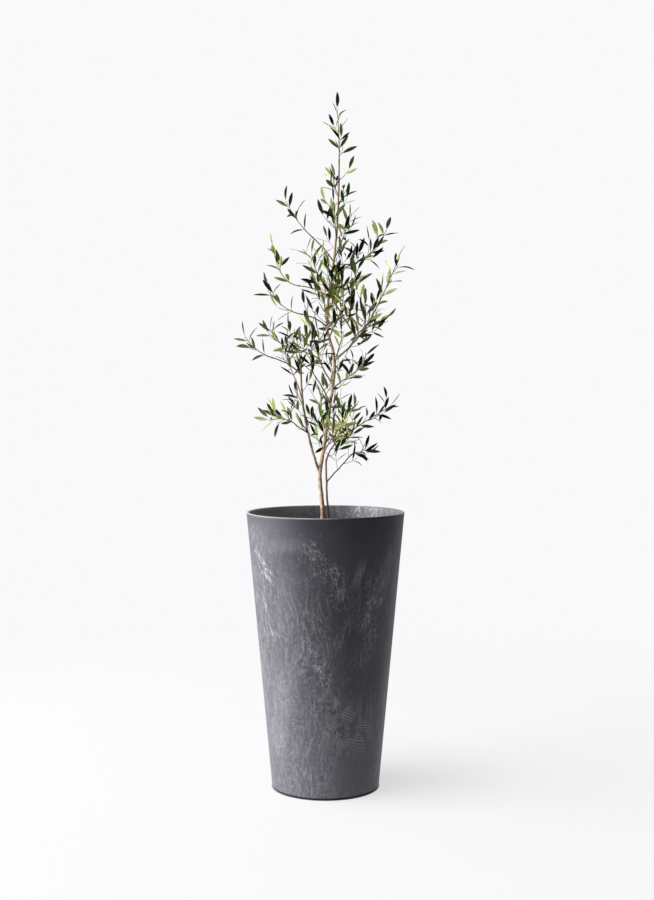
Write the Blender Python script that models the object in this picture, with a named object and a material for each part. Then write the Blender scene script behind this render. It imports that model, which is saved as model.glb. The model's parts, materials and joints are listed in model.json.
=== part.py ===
"""Young olive tree in a tall tapered planter, metres, +Z up.

The origin is the centre of the planter's underside and the front of the plant faces -Y. The tree is a
table of limbs, each of which leaves its parent at a share of the parent's length, and a table of shoots,
which are the leafy masses. A seeded rule sets side twigs and opposite pairs of leaves along every shoot.
"""

import math
import random
from collections import namedtuple

import bmesh
import bpy
import numpy as np

# Planter and soil
POT_HEIGHT = 0.490
POT_TOP_RADIUS = 0.140
POT_FOOT_RADIUS = 0.095
POT_WALL = 0.0045
POT_FLOOR = 0.007
POT_FOOT_ROUND = 0.004
POT_RIM_ROUND = 0.0021
POT_SIDES = 56
ROUND_STEPS = 3
SOIL_DEPTH_BELOW_RIM = 0.040
SOIL_CROWN_RADIUS = 0.045
SOIL_EDGE_DROP = 0.004

# Clearance between two neighbouring solids
GAP = 0.0003

# Trunk: its bends as (height, x, y), its taper and the flare at its foot
TRUNK_BENDS = (
    (0.450, -0.003, 0.000),
    (0.505, -0.006, 0.001),
    (0.555, -0.010, 0.002),
    (0.598, -0.004, 0.001),
    (0.673, 0.007, -0.002),
    (0.763, 0.015, 0.000),
    (0.815, 0.003, 0.003),
    (0.864, 0.005, 0.004),
    (0.934, 0.015, 0.002),
    (1.039, 0.023, 0.000),
    (1.105, 0.024, 0.001),
)
TRUNK_FOOT_RADIUS = 0.0039
TRUNK_TIP_RADIUS = 0.0012
TRUNK_TAPER_POWER = 0.9
TRUNK_FLARE = 0.0030
TRUNK_FLARE_HEIGHT = 0.010
TRUNK_SIDES = 10
TRUNK_RING_SPACING = 0.018

# The second stem comes out of the soil beside the trunk
SECOND_STEM_FOOT = (0.0075, 0.0090)

# Limbs and shoots
LIMB_SIDES = 6
LIMB_RING_SPACING = 0.016
STEM_SIDES = 3
TWIG_SIDES = 3
STEM_RING_SPACING = 0.020
STEM_TIP_RADIUS = 0.0006
TWIG_RADIUS = 0.0008
TWIG_TIP_RADIUS = 0.0005
TWIG_RINGS = 3
LEAF_LENGTH = (0.027, 0.034)
LEAF_WIDTH_SHARE = 0.245
LEAF_THICKNESS = 0.0009
LEAF_WIDEST = 0.48
LEAF_ROOT_DEPTH = 0.0001

# Growth: side twigs between two shares of a stem, scattered to either side and shorter towards its tip
TWIG_SPAN = (0.12, 0.88)
TWIG_SCATTER = 0.7
TWIG_TAPER = (1.15, 0.70)
TWIG_LENGTH_SPREAD = (0.85, 1.15)
TWIG_ANGLE = math.radians(52)
TWIG_LIFT = 0.30

# Growth: leaves from a first share of a stem or twig to a last one, and one more that goes on from the tip
STEM_FIRST_LEAF = 0.10
TWIG_FIRST_LEAF = 0.35
LAST_PAIR = 0.985
TIP_LEAF = 0.99
LEAF_STAGGER = 0.0008
LEAF_SCATTER = 0.25
LEAF_ANGLE = math.radians(50)
LEAF_ANGLE_SPREAD = (0.8, 1.2)
TIP_LEAF_ANGLE = math.radians(15)
LEAF_LIFT = 0.22
LEAF_FACE_LEAN = (0.35, 0.30)

# Room that twigs and leaves keep to limbs, to the next mass and to each other, and its test along a leaf
SPACE_BETWEEN = 0.0008
LEAF_APART = 0.0030
LEAF_TEST_FROM = 0.20
LEAF_TEST_POINTS = 7

# Points along a path, and the steps at which the clearance tests read them
TRUNK_POINTS = 161
PATH_POINTS = 61
LIMB_STEP = 4
STEM_STEP = 6

# A limb's bearing where it leaves its parent is read this far along its path
LEAVING_SHARE = 1 / 6

UP = np.array([0.0, 0.0, 1.0])

# Gives an upright heading a level direction square to it too
NEARLY_UP = np.array([0.0, 0.0001, 1.0])

# Starts a tube's first ring; any direction that no limb sets out along
ODD_DIRECTION = np.array([0.31, 0.67, 0.19])

SHARP_EDGE = math.radians(40)

# A limb or shoot leaves `parent` at `share` of its length. It ends `reach` away towards `bearing` (degrees,
# 0 is +X and 90 is +Y) and `rise` higher, and its middle bows by `bow` up and back over itself. Its radius
# goes from `root` to `tip`. A shoot has side twigs about `twig_length` long, and a pair of leaves every
# `spacing`.
Limb = namedtuple("Limb", "name parent share bearing reach rise bow root tip")
Shoot = namedtuple("Shoot", "name parent share bearing reach rise bow root twigs twig_length spacing seed")

LIMBS = (
    Limb("second_stem", "soil", 0.0, 225, 0.009, 0.128, -0.002, 0.0021, 0.0015),
    Limb("left_stem", "trunk", 0.162, 192, 0.034, 0.181, -0.008, 0.0024, 0.0015),
    Limb("left_long_bough", "left_stem", 0.97, 190, 0.05, 0.029, 0.004, 0.0014, 0.001),
    Limb("left_low_bough", "left_stem", 0.38, 222, 0.025, 0.012, 0.0, 0.0013, 0.001),
    Limb("back_left_bough", "left_stem", 0.66, 108, 0.045, 0.044, 0.003, 0.0013, 0.001),
    Limb("left_mid_bough", "trunk", 0.405, 172, 0.029, 0.062, -0.004, 0.0016, 0.0012),
    Limb("left_side_bough", "left_mid_bough", 0.72, 152, 0.05, 0.018, 0.002, 0.0012, 0.001),
    Limb("upper_left_bough", "trunk", 0.56, 196, 0.046, 0.022, 0.004, 0.0013, 0.001),
    Limb("far_left_bough", "trunk", 0.64, 156, 0.056, 0.022, 0.004, 0.0013, 0.001),
    Limb("long_left_bough", "trunk", 0.735, 188, 0.037, 0.042, 0.002, 0.0013, 0.001),
    Limb("right_bough", "trunk", 0.47, 346, 0.068, 0.076, -0.006, 0.0019, 0.0013),
    Limb("front_cross_bough", "right_bough", 0.52, 203, 0.068, 0.1, 0.0, 0.0014, 0.001),
    Limb("right_upright_bough", "front_cross_bough", 0.26, 60, 0.012, 0.03, -0.003, 0.0012, 0.001),
    Limb("upper_right_bough", "trunk", 0.69, 18, 0.04, 0.027, 0.003, 0.0013, 0.001),
    Limb("mid_right_bough", "trunk", 0.395, 330, 0.04, 0.024, 0.0, 0.0013, 0.001),
    Limb("low_right_bough", "second_stem", 1.0, 348, 0.046, 0.056, -0.004, 0.0014, 0.001),
    Limb("lowest_right_bough", "second_stem", 0.72, 22, 0.046, 0.046, 0.0, 0.0012, 0.001),
    Limb("front_low_bough", "trunk", 0.205, 290, 0.038, 0.028, 0.002, 0.0013, 0.001),
    Limb("back_low_bough", "trunk", 0.265, 97, 0.052, 0.036, 0.003, 0.0013, 0.001),
    Limb("front_mid_bough", "trunk", 0.35, 240, 0.046, 0.045, 0.003, 0.0013, 0.001),
    Limb("back_mid_bough", "trunk", 0.45, 78, 0.054, 0.045, 0.003, 0.0013, 0.001),
    Limb("back_right_bough", "right_bough", 0.36, 66, 0.046, 0.028, 0.003, 0.0013, 0.001),
    Limb("back_upper_bough", "trunk", 0.55, 96, 0.046, 0.04, 0.003, 0.0013, 0.001),
    Limb("front_upper_bough", "trunk", 0.53, 296, 0.036, 0.036, 0.002, 0.0013, 0.001),
    Limb("back_top_bough", "trunk", 0.74, 66, 0.028, 0.03, 0.0, 0.0012, 0.001),
)

SHOOTS = (
    Shoot("left_long_leaves", "left_long_bough", 1.0, 191, 0.049, 0.037, 0.0, 0.001, 1, 0.018, 0.02, 11),
    Shoot("left_low_leaves", "left_low_bough", 1.0, 196, 0.05, 0.01, 0.004, 0.001, 5, 0.026, 0.016, 12),
    Shoot("left_stem_leaves", "left_stem", 0.66, 205, 0.014, 0.032, -0.002, 0.0009, 1, 0.018, 0.015, 42),
    Shoot("left_head_leaves", "left_stem", 1.0, 235, 0.016, 0.062, 0.0, 0.0012, 2, 0.022, 0.018, 13),
    Shoot("back_left_leaves", "back_left_bough", 1.0, 120, 0.048, 0.056, 0.0, 0.001, 3, 0.028, 0.019, 14),
    Shoot("left_mid_leaves", "left_mid_bough", 1.0, 190, 0.022, 0.078, 0.0, 0.0011, 3, 0.028, 0.018, 15),
    Shoot("left_side_leaves", "left_side_bough", 1.0, 170, 0.048, 0.03, 0.0, 0.001, 3, 0.024, 0.019, 16),
    Shoot("upper_left_leaves", "upper_left_bough", 1.0, 190, 0.06, 0.042, 0.0, 0.001, 2, 0.022, 0.02, 17),
    Shoot("far_left_leaves", "far_left_bough", 1.0, 172, 0.048, 0.07, 0.0, 0.001, 1, 0.018, 0.026, 18),
    Shoot("long_left_leaves", "long_left_bough", 1.0, 182, 0.047, 0.064, 0.0, 0.001, 1, 0.02, 0.021, 19),
    Shoot("front_cross_leaves", "front_cross_bough", 1.0, 232, 0.026, 0.044, 0.0, 0.001, 3, 0.026, 0.017, 20),
    Shoot("right_far_leaves", "right_bough", 1.0, 4, 0.046, 0.1, 0.0, 0.0012, 3, 0.022, 0.022, 21),
    Shoot("right_near_leaves", "right_bough", 0.7, 325, 0.044, 0.02, 0.002, 0.0009, 4, 0.026, 0.017, 40),
    Shoot("right_upright_leaves", "right_upright_bough", 1.0, 330, 0.014, 0.062, 0.0, 0.001, 5, 0.034, 0.017, 22),
    Shoot("upper_right_leaves", "upper_right_bough", 1.0, 14, 0.062, 0.062, 0.0, 0.001, 2, 0.022, 0.02, 23),
    Shoot("mid_right_leaves", "mid_right_bough", 1.0, 350, 0.026, 0.028, 0.0, 0.001, 3, 0.02, 0.018, 24),
    Shoot("low_right_leaves", "low_right_bough", 1.0, 352, 0.068, 0.042, 0.0, 0.001, 4, 0.026, 0.02, 25),
    Shoot("low_inner_leaves", "low_right_bough", 0.5, 316, 0.03, 0.062, 0.0, 0.001, 6, 0.034, 0.016, 26),
    Shoot("lowest_right_leaves", "lowest_right_bough", 1.0, 8, 0.026, 0.004, 0.0, 0.001, 2, 0.018, 0.016, 27),
    Shoot("front_low_leaves", "front_low_bough", 1.0, 276, 0.042, 0.026, 0.0, 0.001, 5, 0.032, 0.016, 28),
    Shoot("back_low_leaves", "back_low_bough", 1.0, 88, 0.054, 0.05, 0.0, 0.001, 4, 0.03, 0.019, 29),
    Shoot("front_mid_leaves", "front_mid_bough", 1.0, 262, 0.052, 0.06, 0.0, 0.001, 4, 0.03, 0.017, 30),
    Shoot("back_mid_leaves", "back_mid_bough", 1.0, 96, 0.056, 0.058, 0.0, 0.001, 4, 0.03, 0.019, 31),
    Shoot("back_right_leaves", "back_right_bough", 1.0, 82, 0.052, 0.058, 0.0, 0.001, 4, 0.03, 0.019, 32),
    Shoot("back_upper_leaves", "back_upper_bough", 1.0, 84, 0.048, 0.06, 0.0, 0.001, 5, 0.03, 0.018, 33),
    Shoot("front_upper_leaves", "front_upper_bough", 1.0, 280, 0.036, 0.054, 0.0, 0.001, 5, 0.03, 0.016, 34),
    Shoot("centre_leaves", "trunk", 0.6, 345, 0.026, 0.066, -0.004, 0.001, 5, 0.03, 0.016, 41),
    Shoot("back_top_leaves", "back_top_bough", 1.0, 50, 0.026, 0.05, 0.0, 0.001, 3, 0.022, 0.019, 35),
    Shoot("front_top_leaves", "trunk", 0.8, 262, 0.034, 0.058, -0.003, 0.001, 3, 0.022, 0.017, 36),
    Shoot("leader_left_leaves", "trunk", 0.91, 165, 0.010, 0.04, -0.003, 0.0009, 1, 0.016, 0.016, 37),
    Shoot("leader_right_leaves", "trunk", 0.885, 15, 0.009, 0.034, -0.003, 0.0009, 1, 0.014, 0.018, 38),
    Shoot("leader_tip_leaves", "trunk", 1.0, 170, 0.004, 0.094, 0.0, 0.001, 0, 0.0, 0.03, 39),
)

BARK = ((0.42, 0.34, 0.24), 0.75)
FOLIAGE = ((0.16, 0.22, 0.12), 0.55)
POT_FINISH = ((0.10, 0.10, 0.11), 0.60)
SOIL_FINISH = ((0.09, 0.06, 0.04), 0.95)


def unit(vector):
    """The vector at length one."""
    return vector / np.linalg.norm(vector)


def along(path, share):
    """The point and the heading of a path at a share of its length."""
    steps = np.linalg.norm(np.diff(path, axis=0), axis=1)
    lengths = np.concatenate([[0.0], np.cumsum(steps)])
    target = share * lengths[-1]
    place = min(max(int(np.searchsorted(lengths, target)), 1), len(path) - 1)
    part = (target - lengths[place - 1]) / steps[place - 1]
    heading = path[place] - path[place - 1]
    return path[place - 1] + part * heading, unit(heading)


def evenly(path, count):
    """The path again, as `count` points at equal steps along its length."""
    return np.array([along(path, share)[0] for share in np.linspace(0.0, 1.0, count)])


def path_length(path):
    """The length of a path."""
    return float(np.linalg.norm(np.diff(path, axis=0), axis=1).sum())


def trunk_path(count=TRUNK_POINTS):
    """A smooth cubic through the trunk's bends, with the slope at each taken from its two neighbours."""
    bends = np.array([(x, y, z) for z, x, y in TRUNK_BENDS])
    slopes = np.gradient(bends[:, :2], bends[:, 2], axis=0)
    heights = np.linspace(bends[0, 2], bends[-1, 2], count)
    span = np.clip(np.searchsorted(bends[:, 2], heights) - 1, 0, len(bends) - 2)
    low, high = bends[span], bends[span + 1]
    size = (high[:, 2] - low[:, 2])[:, None]
    t = ((heights - low[:, 2])[:, None]) / size
    sideways = (
        (2 * t**3 - 3 * t**2 + 1) * low[:, :2]
        + (t**3 - 2 * t**2 + t) * size * slopes[span]
        + (3 * t**2 - 2 * t**3) * high[:, :2]
        + (t**3 - t**2) * size * slopes[span + 1]
    )
    return np.column_stack([sideways, heights])


def limb_path(start, heading, limb, count=PATH_POINTS):
    """A parabola from `start` to the limb's end. One that goes on from a tip sets out along `heading`."""
    bearing = math.radians(limb.bearing)
    out = np.array([math.cos(bearing), math.sin(bearing), 0.0])
    end = start + out * limb.reach + UP * limb.rise
    length = np.linalg.norm(end - start)
    over = (UP * limb.reach - out * limb.rise) / length
    middle = (start + end) / 2
    if limb.share == 1.0:
        middle = start + heading * length / 2
    middle = middle + 2 * over * limb.bow
    t = np.linspace(0.0, 1.0, count)[:, None]
    return (1 - t) ** 2 * start + 2 * t * (1 - t) * middle + t**2 * end


def tube(path, radii, sides, seat=None, end=None):
    """A closed tapering tube. Its rings are square to the path, but the first to `seat`, the last to `end`."""
    count = len(path)
    headings = np.array([unit(h) for h in np.gradient(path, axis=0)])
    side = unit(np.cross(headings[0], ODD_DIRECTION))
    points = []
    for ring in range(count):
        side = unit(side - headings[ring] * np.dot(side, headings[ring]))
        other = np.cross(headings[ring], side)
        cut = headings[ring]
        if ring == 0 and seat is not None:
            cut = seat
        if ring == count - 1 and end is not None:
            cut = end
        for turn in np.arange(sides) * 2 * math.pi / sides:
            spoke = radii[ring] * (math.cos(turn) * side + math.sin(turn) * other)
            slide = np.dot(spoke, cut) / np.dot(headings[ring], cut)
            points.append(path[ring] + spoke - headings[ring] * slide)
    faces = [tuple(reversed(range(sides)))]
    for ring in range(count - 1):
        for k in range(sides):
            a = ring * sides + k
            b = ring * sides + (k + 1) % sides
            faces.append((a, b, b + sides, a + sides))
    faces.append(tuple(range((count - 1) * sides, count * sides)))
    return np.array(points), faces


def leaf(root, heading, face, length):
    """A lens of eight faces from a point inside its twig to its tip, thickest and widest near mid-length."""
    side = unit(np.cross(heading, face))
    face = np.cross(side, heading)
    middle = root + heading * length * LEAF_WIDEST
    half_width = side * length * LEAF_WIDTH_SHARE / 2
    half_thickness = face * LEAF_THICKNESS / 2
    points = [
        root,
        middle + half_width,
        middle + half_thickness,
        middle - half_width,
        middle - half_thickness,
        root + heading * length,
    ]
    faces = []
    for k in range(4):
        a, b = 1 + k, 1 + (k + 1) % 4
        faces += [(0, a, b), (5, b, a)]
    return np.array(points), faces


def distance_to_path(points, path, radii=0.0):
    """The least distance from each point to a path's straight runs, or to the surface of a limb along it."""
    starts, runs = path[:-1], np.diff(path, axis=0)
    away = points[:, None, :] - starts[None]
    share = np.clip((away * runs).sum(2) / (runs**2).sum(1), 0.0, 1.0)
    return (np.linalg.norm(away - share[..., None] * runs, axis=2) - radii).min(1)


def seat_on(parent_path, parent_radius, share, path):
    """The path from a gap clear of the parent's surface onwards, and the normal of the cut there."""
    start, heading = along(parent_path, share)
    leaving = path[round(len(path) * LEAVING_SHARE)] - start
    normal = unit(leaving - heading * np.dot(leaving, heading))
    height = (path - start) @ normal - (parent_radius + GAP)
    first = int(np.argmax(height > 0))
    part = height[first] / (height[first] - height[first - 1])
    entry = path[first] + part * (path[first - 1] - path[first])
    return np.vstack([entry, path[first:]]), normal


class Tree:
    """The limbs and shoots with their paths, and the test that keeps every mass in its own space."""

    def __init__(self):
        self.paths = {}
        self.radii = {}
        self.seats = {}
        self.add_trunk()
        for limb in LIMBS + SHOOTS:
            self.add(limb)

    def add_trunk(self):
        """The trunk's path and its radius, which flares at the foot."""
        path = trunk_path()
        climb = (path[:, 2] - path[0, 2]) / (path[-1, 2] - path[0, 2])
        flare = TRUNK_FLARE * np.exp(-(path[:, 2] - path[0, 2]) / TRUNK_FLARE_HEIGHT)
        self.paths["trunk"] = path
        taper = (TRUNK_FOOT_RADIUS - TRUNK_TIP_RADIUS) * (1 - climb) ** TRUNK_TAPER_POWER
        self.radii["trunk"] = TRUNK_TIP_RADIUS + taper + flare
        self.seats["trunk"] = UP

    def add(self, limb):
        """The path of a limb or shoot, cut to start at its parent's surface, and its radius along it."""
        seat = None
        if limb.parent == "soil":
            path = limb_path(np.array([*SECOND_STEM_FOOT, TRUNK_BENDS[0][0]]), UP, limb)
            seat = UP
        else:
            parent = self.paths[limb.parent]
            start, heading = along(parent, limb.share)
            if limb.share == 1.0:
                path = limb_path(start + heading * GAP, heading, limb)
                seat = heading
            else:
                path = limb_path(start, heading, limb)
                radius = np.interp(limb.share, np.linspace(0, 1, len(parent)), self.radii[limb.parent])
                path, seat = seat_on(parent, radius, limb.share, path)
        tip = limb.tip if isinstance(limb, Limb) else STEM_TIP_RADIUS
        self.paths[limb.name] = evenly(path, PATH_POINTS)
        self.radii[limb.name] = np.linspace(limb.root, tip, PATH_POINTS)
        self.seats[limb.name] = seat

    def limb_solid(self, name, sides, spacing):
        """The tube of one limb, with rings about `spacing` apart."""
        count = max(3, round(path_length(self.paths[name]) / spacing) + 1)
        known = np.linspace(0, 1, len(self.radii[name]))
        radii = np.interp(np.linspace(0, 1, count), known, self.radii[name])
        end = along(self.paths[name], 1.0)[1]
        return tube(evenly(self.paths[name], count), radii, sides, self.seats[name], end)

    def is_free(self, points, own, half_widths):
        """Whether points of those half widths lie nearest to their own stem and touch no limb."""
        mine = distance_to_path(points, self.paths[own][::STEM_STEP])
        for shoot in SHOOTS:
            if shoot.name != own:
                other = distance_to_path(points, self.paths[shoot.name][::STEM_STEP])
                if (other - mine < 2 * half_widths + SPACE_BETWEEN).any():
                    return False
        for name in ["trunk"] + [limb.name for limb in LIMBS]:
            radii = self.radii[name][:-LIMB_STEP:LIMB_STEP]
            bark = distance_to_path(points, self.paths[name][::LIMB_STEP], radii)
            if (bark < half_widths + SPACE_BETWEEN).any():
                return False
        return True


class Mass:
    """One leafy mass: a stem, its side twigs, and opposite pairs of leaves, each turned from the last."""

    def __init__(self, tree, shoot):
        self.tree = tree
        self.shoot = shoot
        self.chance = random.Random(shoot.seed)
        self.solids = [tree.limb_solid(shoot.name, STEM_SIDES, STEM_RING_SPACING)]
        self.leaf_lines = []
        self.grow()

    def grow(self):
        """Leaves and side twigs along the stem, in turns, then the leaves of the tip."""
        path = self.tree.paths[self.shoot.name]
        self.set_leaves(path, STEM_FIRST_LEAF)
        for k in range(self.shoot.twigs):
            share = TWIG_SPAN[0] + (TWIG_SPAN[1] - TWIG_SPAN[0]) * (k + 0.5) / self.shoot.twigs
            self.add_twig(path, share, math.pi * k + self.chance.uniform(-TWIG_SCATTER, TWIG_SCATTER))

    def spoke(self, heading, turn):
        """A direction square to the heading, turned round it from the level."""
        level = unit(np.cross(heading, NEARLY_UP))
        return math.cos(turn) * level + math.sin(turn) * np.cross(level, heading)

    def add_twig(self, path, share, turn):
        """A side twig that curves upwards, skipped where it would leave the mass's space."""
        root, heading = along(path, share)
        spoke = self.spoke(heading, turn)
        taper = TWIG_TAPER[0] + (TWIG_TAPER[1] - TWIG_TAPER[0]) * share
        length = self.shoot.twig_length * taper * self.chance.uniform(*TWIG_LENGTH_SPREAD)
        out = unit(math.cos(TWIG_ANGLE) * heading + math.sin(TWIG_ANGLE) * spoke)
        t = np.linspace(0.0, 1.0, TWIG_RINGS)[:, None]
        twig = root + out * length * t + UP * TWIG_LIFT * length * t**2
        if not self.tree.is_free(twig[1:], self.shoot.name, TWIG_RADIUS):
            return
        radii = np.linspace(TWIG_RADIUS, TWIG_TIP_RADIUS, TWIG_RINGS)
        self.solids.append(tube(twig, radii, TWIG_SIDES))
        self.set_leaves(twig, TWIG_FIRST_LEAF)

    def set_leaves(self, path, first_share):
        """Opposite pairs from `first_share` of the path to its end, and one leaf on from the tip."""
        length = path_length(path)
        pairs = max(1, round(length * (1 - first_share) / self.shoot.spacing))
        quarter = self.chance.uniform(0.0, math.pi)
        for pair in range(pairs):
            share = first_share + (LAST_PAIR - first_share) * (pair + 0.5) / pairs
            for half in (0, 1):
                scatter = self.chance.uniform(-LEAF_SCATTER, LEAF_SCATTER)
                turn = quarter + pair * math.pi / 2 + half * math.pi + scatter
                self.add_leaf(path, share - half * LEAF_STAGGER / length, turn, LEAF_ANGLE)
        self.add_leaf(path, TIP_LEAF, quarter, TIP_LEAF_ANGLE)

    def add_leaf(self, path, share, turn, angle):
        """One leaf, lifted towards the light, skipped where it would touch another or leave the space."""
        root, heading = along(path, share)
        spoke = self.spoke(heading, turn)
        angle = angle * self.chance.uniform(*LEAF_ANGLE_SPREAD)
        length = self.chance.uniform(*LEAF_LENGTH)
        out = unit(math.cos(angle) * heading + math.sin(angle) * spoke + UP * LEAF_LIFT)
        face = heading - spoke * LEAF_FACE_LEAN[0] + UP * LEAF_FACE_LEAN[1]
        shares = np.linspace(LEAF_TEST_FROM, 1.0, LEAF_TEST_POINTS)
        line = root + out * length * shares[:, None]
        half_widths = length * LEAF_WIDTH_SHARE * np.minimum(shares, 1.0 - shares)
        if not self.tree.is_free(line, self.shoot.name, half_widths):
            return
        if any(distance_to_path(line, other).min() < LEAF_APART for other in self.leaf_lines):
            return
        self.leaf_lines.append(line)
        self.solids.append(leaf(root - out * LEAF_ROOT_DEPTH, out, face, length))


def turned(profile, sides):
    """A profile of (radius, height) points from pole to pole, turned round +Z into a closed solid."""
    points = [(0.0, 0.0, profile[0][1])]
    for radius, height in profile[1:-1]:
        for k in range(sides):
            turn = 2 * math.pi * k / sides
            points.append((radius * math.cos(turn), radius * math.sin(turn), height))
    points.append((0.0, 0.0, profile[-1][1]))
    rings, last = len(profile) - 2, len(points) - 1
    faces = []
    for k in range(sides):
        after = (k + 1) % sides
        faces.append((0, 1 + after, 1 + k))
        for ring in range(rings - 1):
            a, b = 1 + ring * sides + k, 1 + ring * sides + after
            faces.append((a, b, b + sides, a + sides))
        faces.append((1 + (rings - 1) * sides + k, 1 + (rings - 1) * sides + after, last))
    return np.array(points), faces


def arc(centre, radius, start, end):
    """Points of a round stretch of a profile, from one angle in degrees to another."""
    angles = np.radians(np.linspace(start, end, ROUND_STEPS + 1))
    return [(centre[0] + radius * math.cos(a), centre[1] + radius * math.sin(a)) for a in angles]


def outer_radius(height):
    """The planter's outer radius at a height."""
    return POT_FOOT_RADIUS + (POT_TOP_RADIUS - POT_FOOT_RADIUS) * height / POT_HEIGHT


def pot_solid():
    """The tapered shell: flat underside, rounded foot, straight side, rounded rim, inner side and floor."""
    foot, rim = POT_FOOT_ROUND, POT_RIM_ROUND
    side = [
        *arc((outer_radius(foot) - foot, foot), foot, -90, 0),
        *arc((POT_TOP_RADIUS - rim, POT_HEIGHT - rim), rim, 0, 90),
        *arc((POT_TOP_RADIUS - POT_WALL + rim, POT_HEIGHT - rim), rim, 90, 180),
        (outer_radius(POT_FLOOR) - POT_WALL, POT_FLOOR),
    ]
    return turned([(0.0, 0.0), *side, (0.0, POT_FLOOR)], POT_SIDES)


def soil_solid():
    """The soil, a gap clear of the planter inside, level round the trunk and a little lower at the wall."""
    top = POT_HEIGHT - SOIL_DEPTH_BELOW_RIM - GAP
    floor = POT_FLOOR + GAP
    edge = top - SOIL_EDGE_DROP
    inset = POT_WALL + 2 * GAP
    profile = [
        (0.0, floor),
        (outer_radius(floor) - inset, floor),
        (outer_radius(edge) - inset, edge),
        (SOIL_CROWN_RADIUS * 2, top - SOIL_EDGE_DROP / 2),
        (SOIL_CROWN_RADIUS, top),
        (0.0, top),
    ]
    return turned(profile, POT_SIDES)


def add_object(name, solid, finish, parent, collection=None):
    """A mesh object with its own material, whose origin is the solid's first point."""
    points, faces = solid
    origin = points[0].copy()
    mesh = bpy.data.meshes.new(name)
    mesh.from_pydata([tuple(p) for p in points - origin], [], faces)
    mesh.shade_smooth()
    mesh.set_sharp_from_angle(angle=SHARP_EDGE)
    item = bpy.data.objects.new(name, mesh)
    item.location = origin
    (collection or bpy.context.scene.collection).objects.link(item)
    item.parent = parent
    if finish:
        mesh.materials.append(material(name, *finish))
    return item


def material(name, colour, roughness):
    """A Principled surface of one colour."""
    made = bpy.data.materials.new(name)
    made.use_nodes = True
    shader = made.node_tree.nodes["Principled BSDF"]
    shader.inputs["Base Color"].default_value = (*colour, 1.0)
    shader.inputs["Roughness"].default_value = roughness
    shader.inputs["Metallic"].default_value = 0.0
    return made


def drop_scraps(mesh):
    """Leaves only the largest of the mesh's bodies, so that a loose scrap or a sealed hollow goes."""
    work = bmesh.new()
    work.from_mesh(mesh)
    left = set(work.verts)
    bodies = []
    while left:
        body, edge = set(), [next(iter(left))]
        while edge:
            vertex = edge.pop()
            if vertex not in body:
                body.add(vertex)
                edge += [e.other_vert(vertex) for e in vertex.link_edges]
        bodies.append(body)
        left -= body
    largest = max(bodies, key=len)
    bmesh.ops.delete(work, geom=[v for v in work.verts if v not in largest], context="VERTS")
    work.to_mesh(mesh)
    work.free()


def add_mass(tree, shoot, parent):
    """One leafy mass, its stem fused with its twigs and leaves by one Boolean union on a collection."""
    solids = Mass(tree, shoot).solids
    stem = add_object(shoot.name, solids[0], FOLIAGE, parent)
    growth = bpy.data.collections.new(shoot.name + "_growth")
    bpy.context.scene.collection.children.link(growth)
    for k, solid in enumerate(solids[1:]):
        add_object(f"{shoot.name}_{k}", solid, None, None, growth)
    union = stem.modifiers.new("fuse", "BOOLEAN")
    union.operation = "UNION"
    union.operand_type = "COLLECTION"
    union.collection = growth
    union.solver = "EXACT"
    bpy.context.view_layer.update()
    fused = bpy.data.meshes.new_from_object(stem.evaluated_get(bpy.context.evaluated_depsgraph_get()))
    stem.modifiers.clear()
    drop_scraps(fused)
    stem.data = fused
    for item in list(growth.objects):
        bpy.data.objects.remove(item)
    bpy.data.collections.remove(growth)
    return stem


def clear_scene():
    """Removes what the scene holds."""
    for item in list(bpy.data.objects):
        bpy.data.objects.remove(item)


def main():
    """Builds the planter, its soil and the tree."""
    clear_scene()
    plant = bpy.data.objects.new("olive_tree", None)
    bpy.context.scene.collection.objects.link(plant)
    add_object("pot", pot_solid(), POT_FINISH, plant)
    add_object("soil", soil_solid(), SOIL_FINISH, plant)
    tree = Tree()
    add_object("trunk", tree.limb_solid("trunk", TRUNK_SIDES, TRUNK_RING_SPACING), BARK, plant)
    for limb in LIMBS:
        add_object(limb.name, tree.limb_solid(limb.name, LIMB_SIDES, LIMB_RING_SPACING), BARK, plant)
    for shoot in SHOOTS:
        add_mass(tree, shoot, plant)


main()
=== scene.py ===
"""Looks of a young olive tree in a tall tapered planter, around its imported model. Metres, +Z up.

The file is laid out as an add-on and run as a script. The tree grows by a table of limbs and a table of
shoots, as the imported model's does: every limb leaves its parent at a share of the parent's length, and a
seeded rule sets side twigs and pairs of leaves along every shoot. Here finer twigs grow between them too.
"""

import functools
import json
import math
import random
from collections import namedtuple

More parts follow.
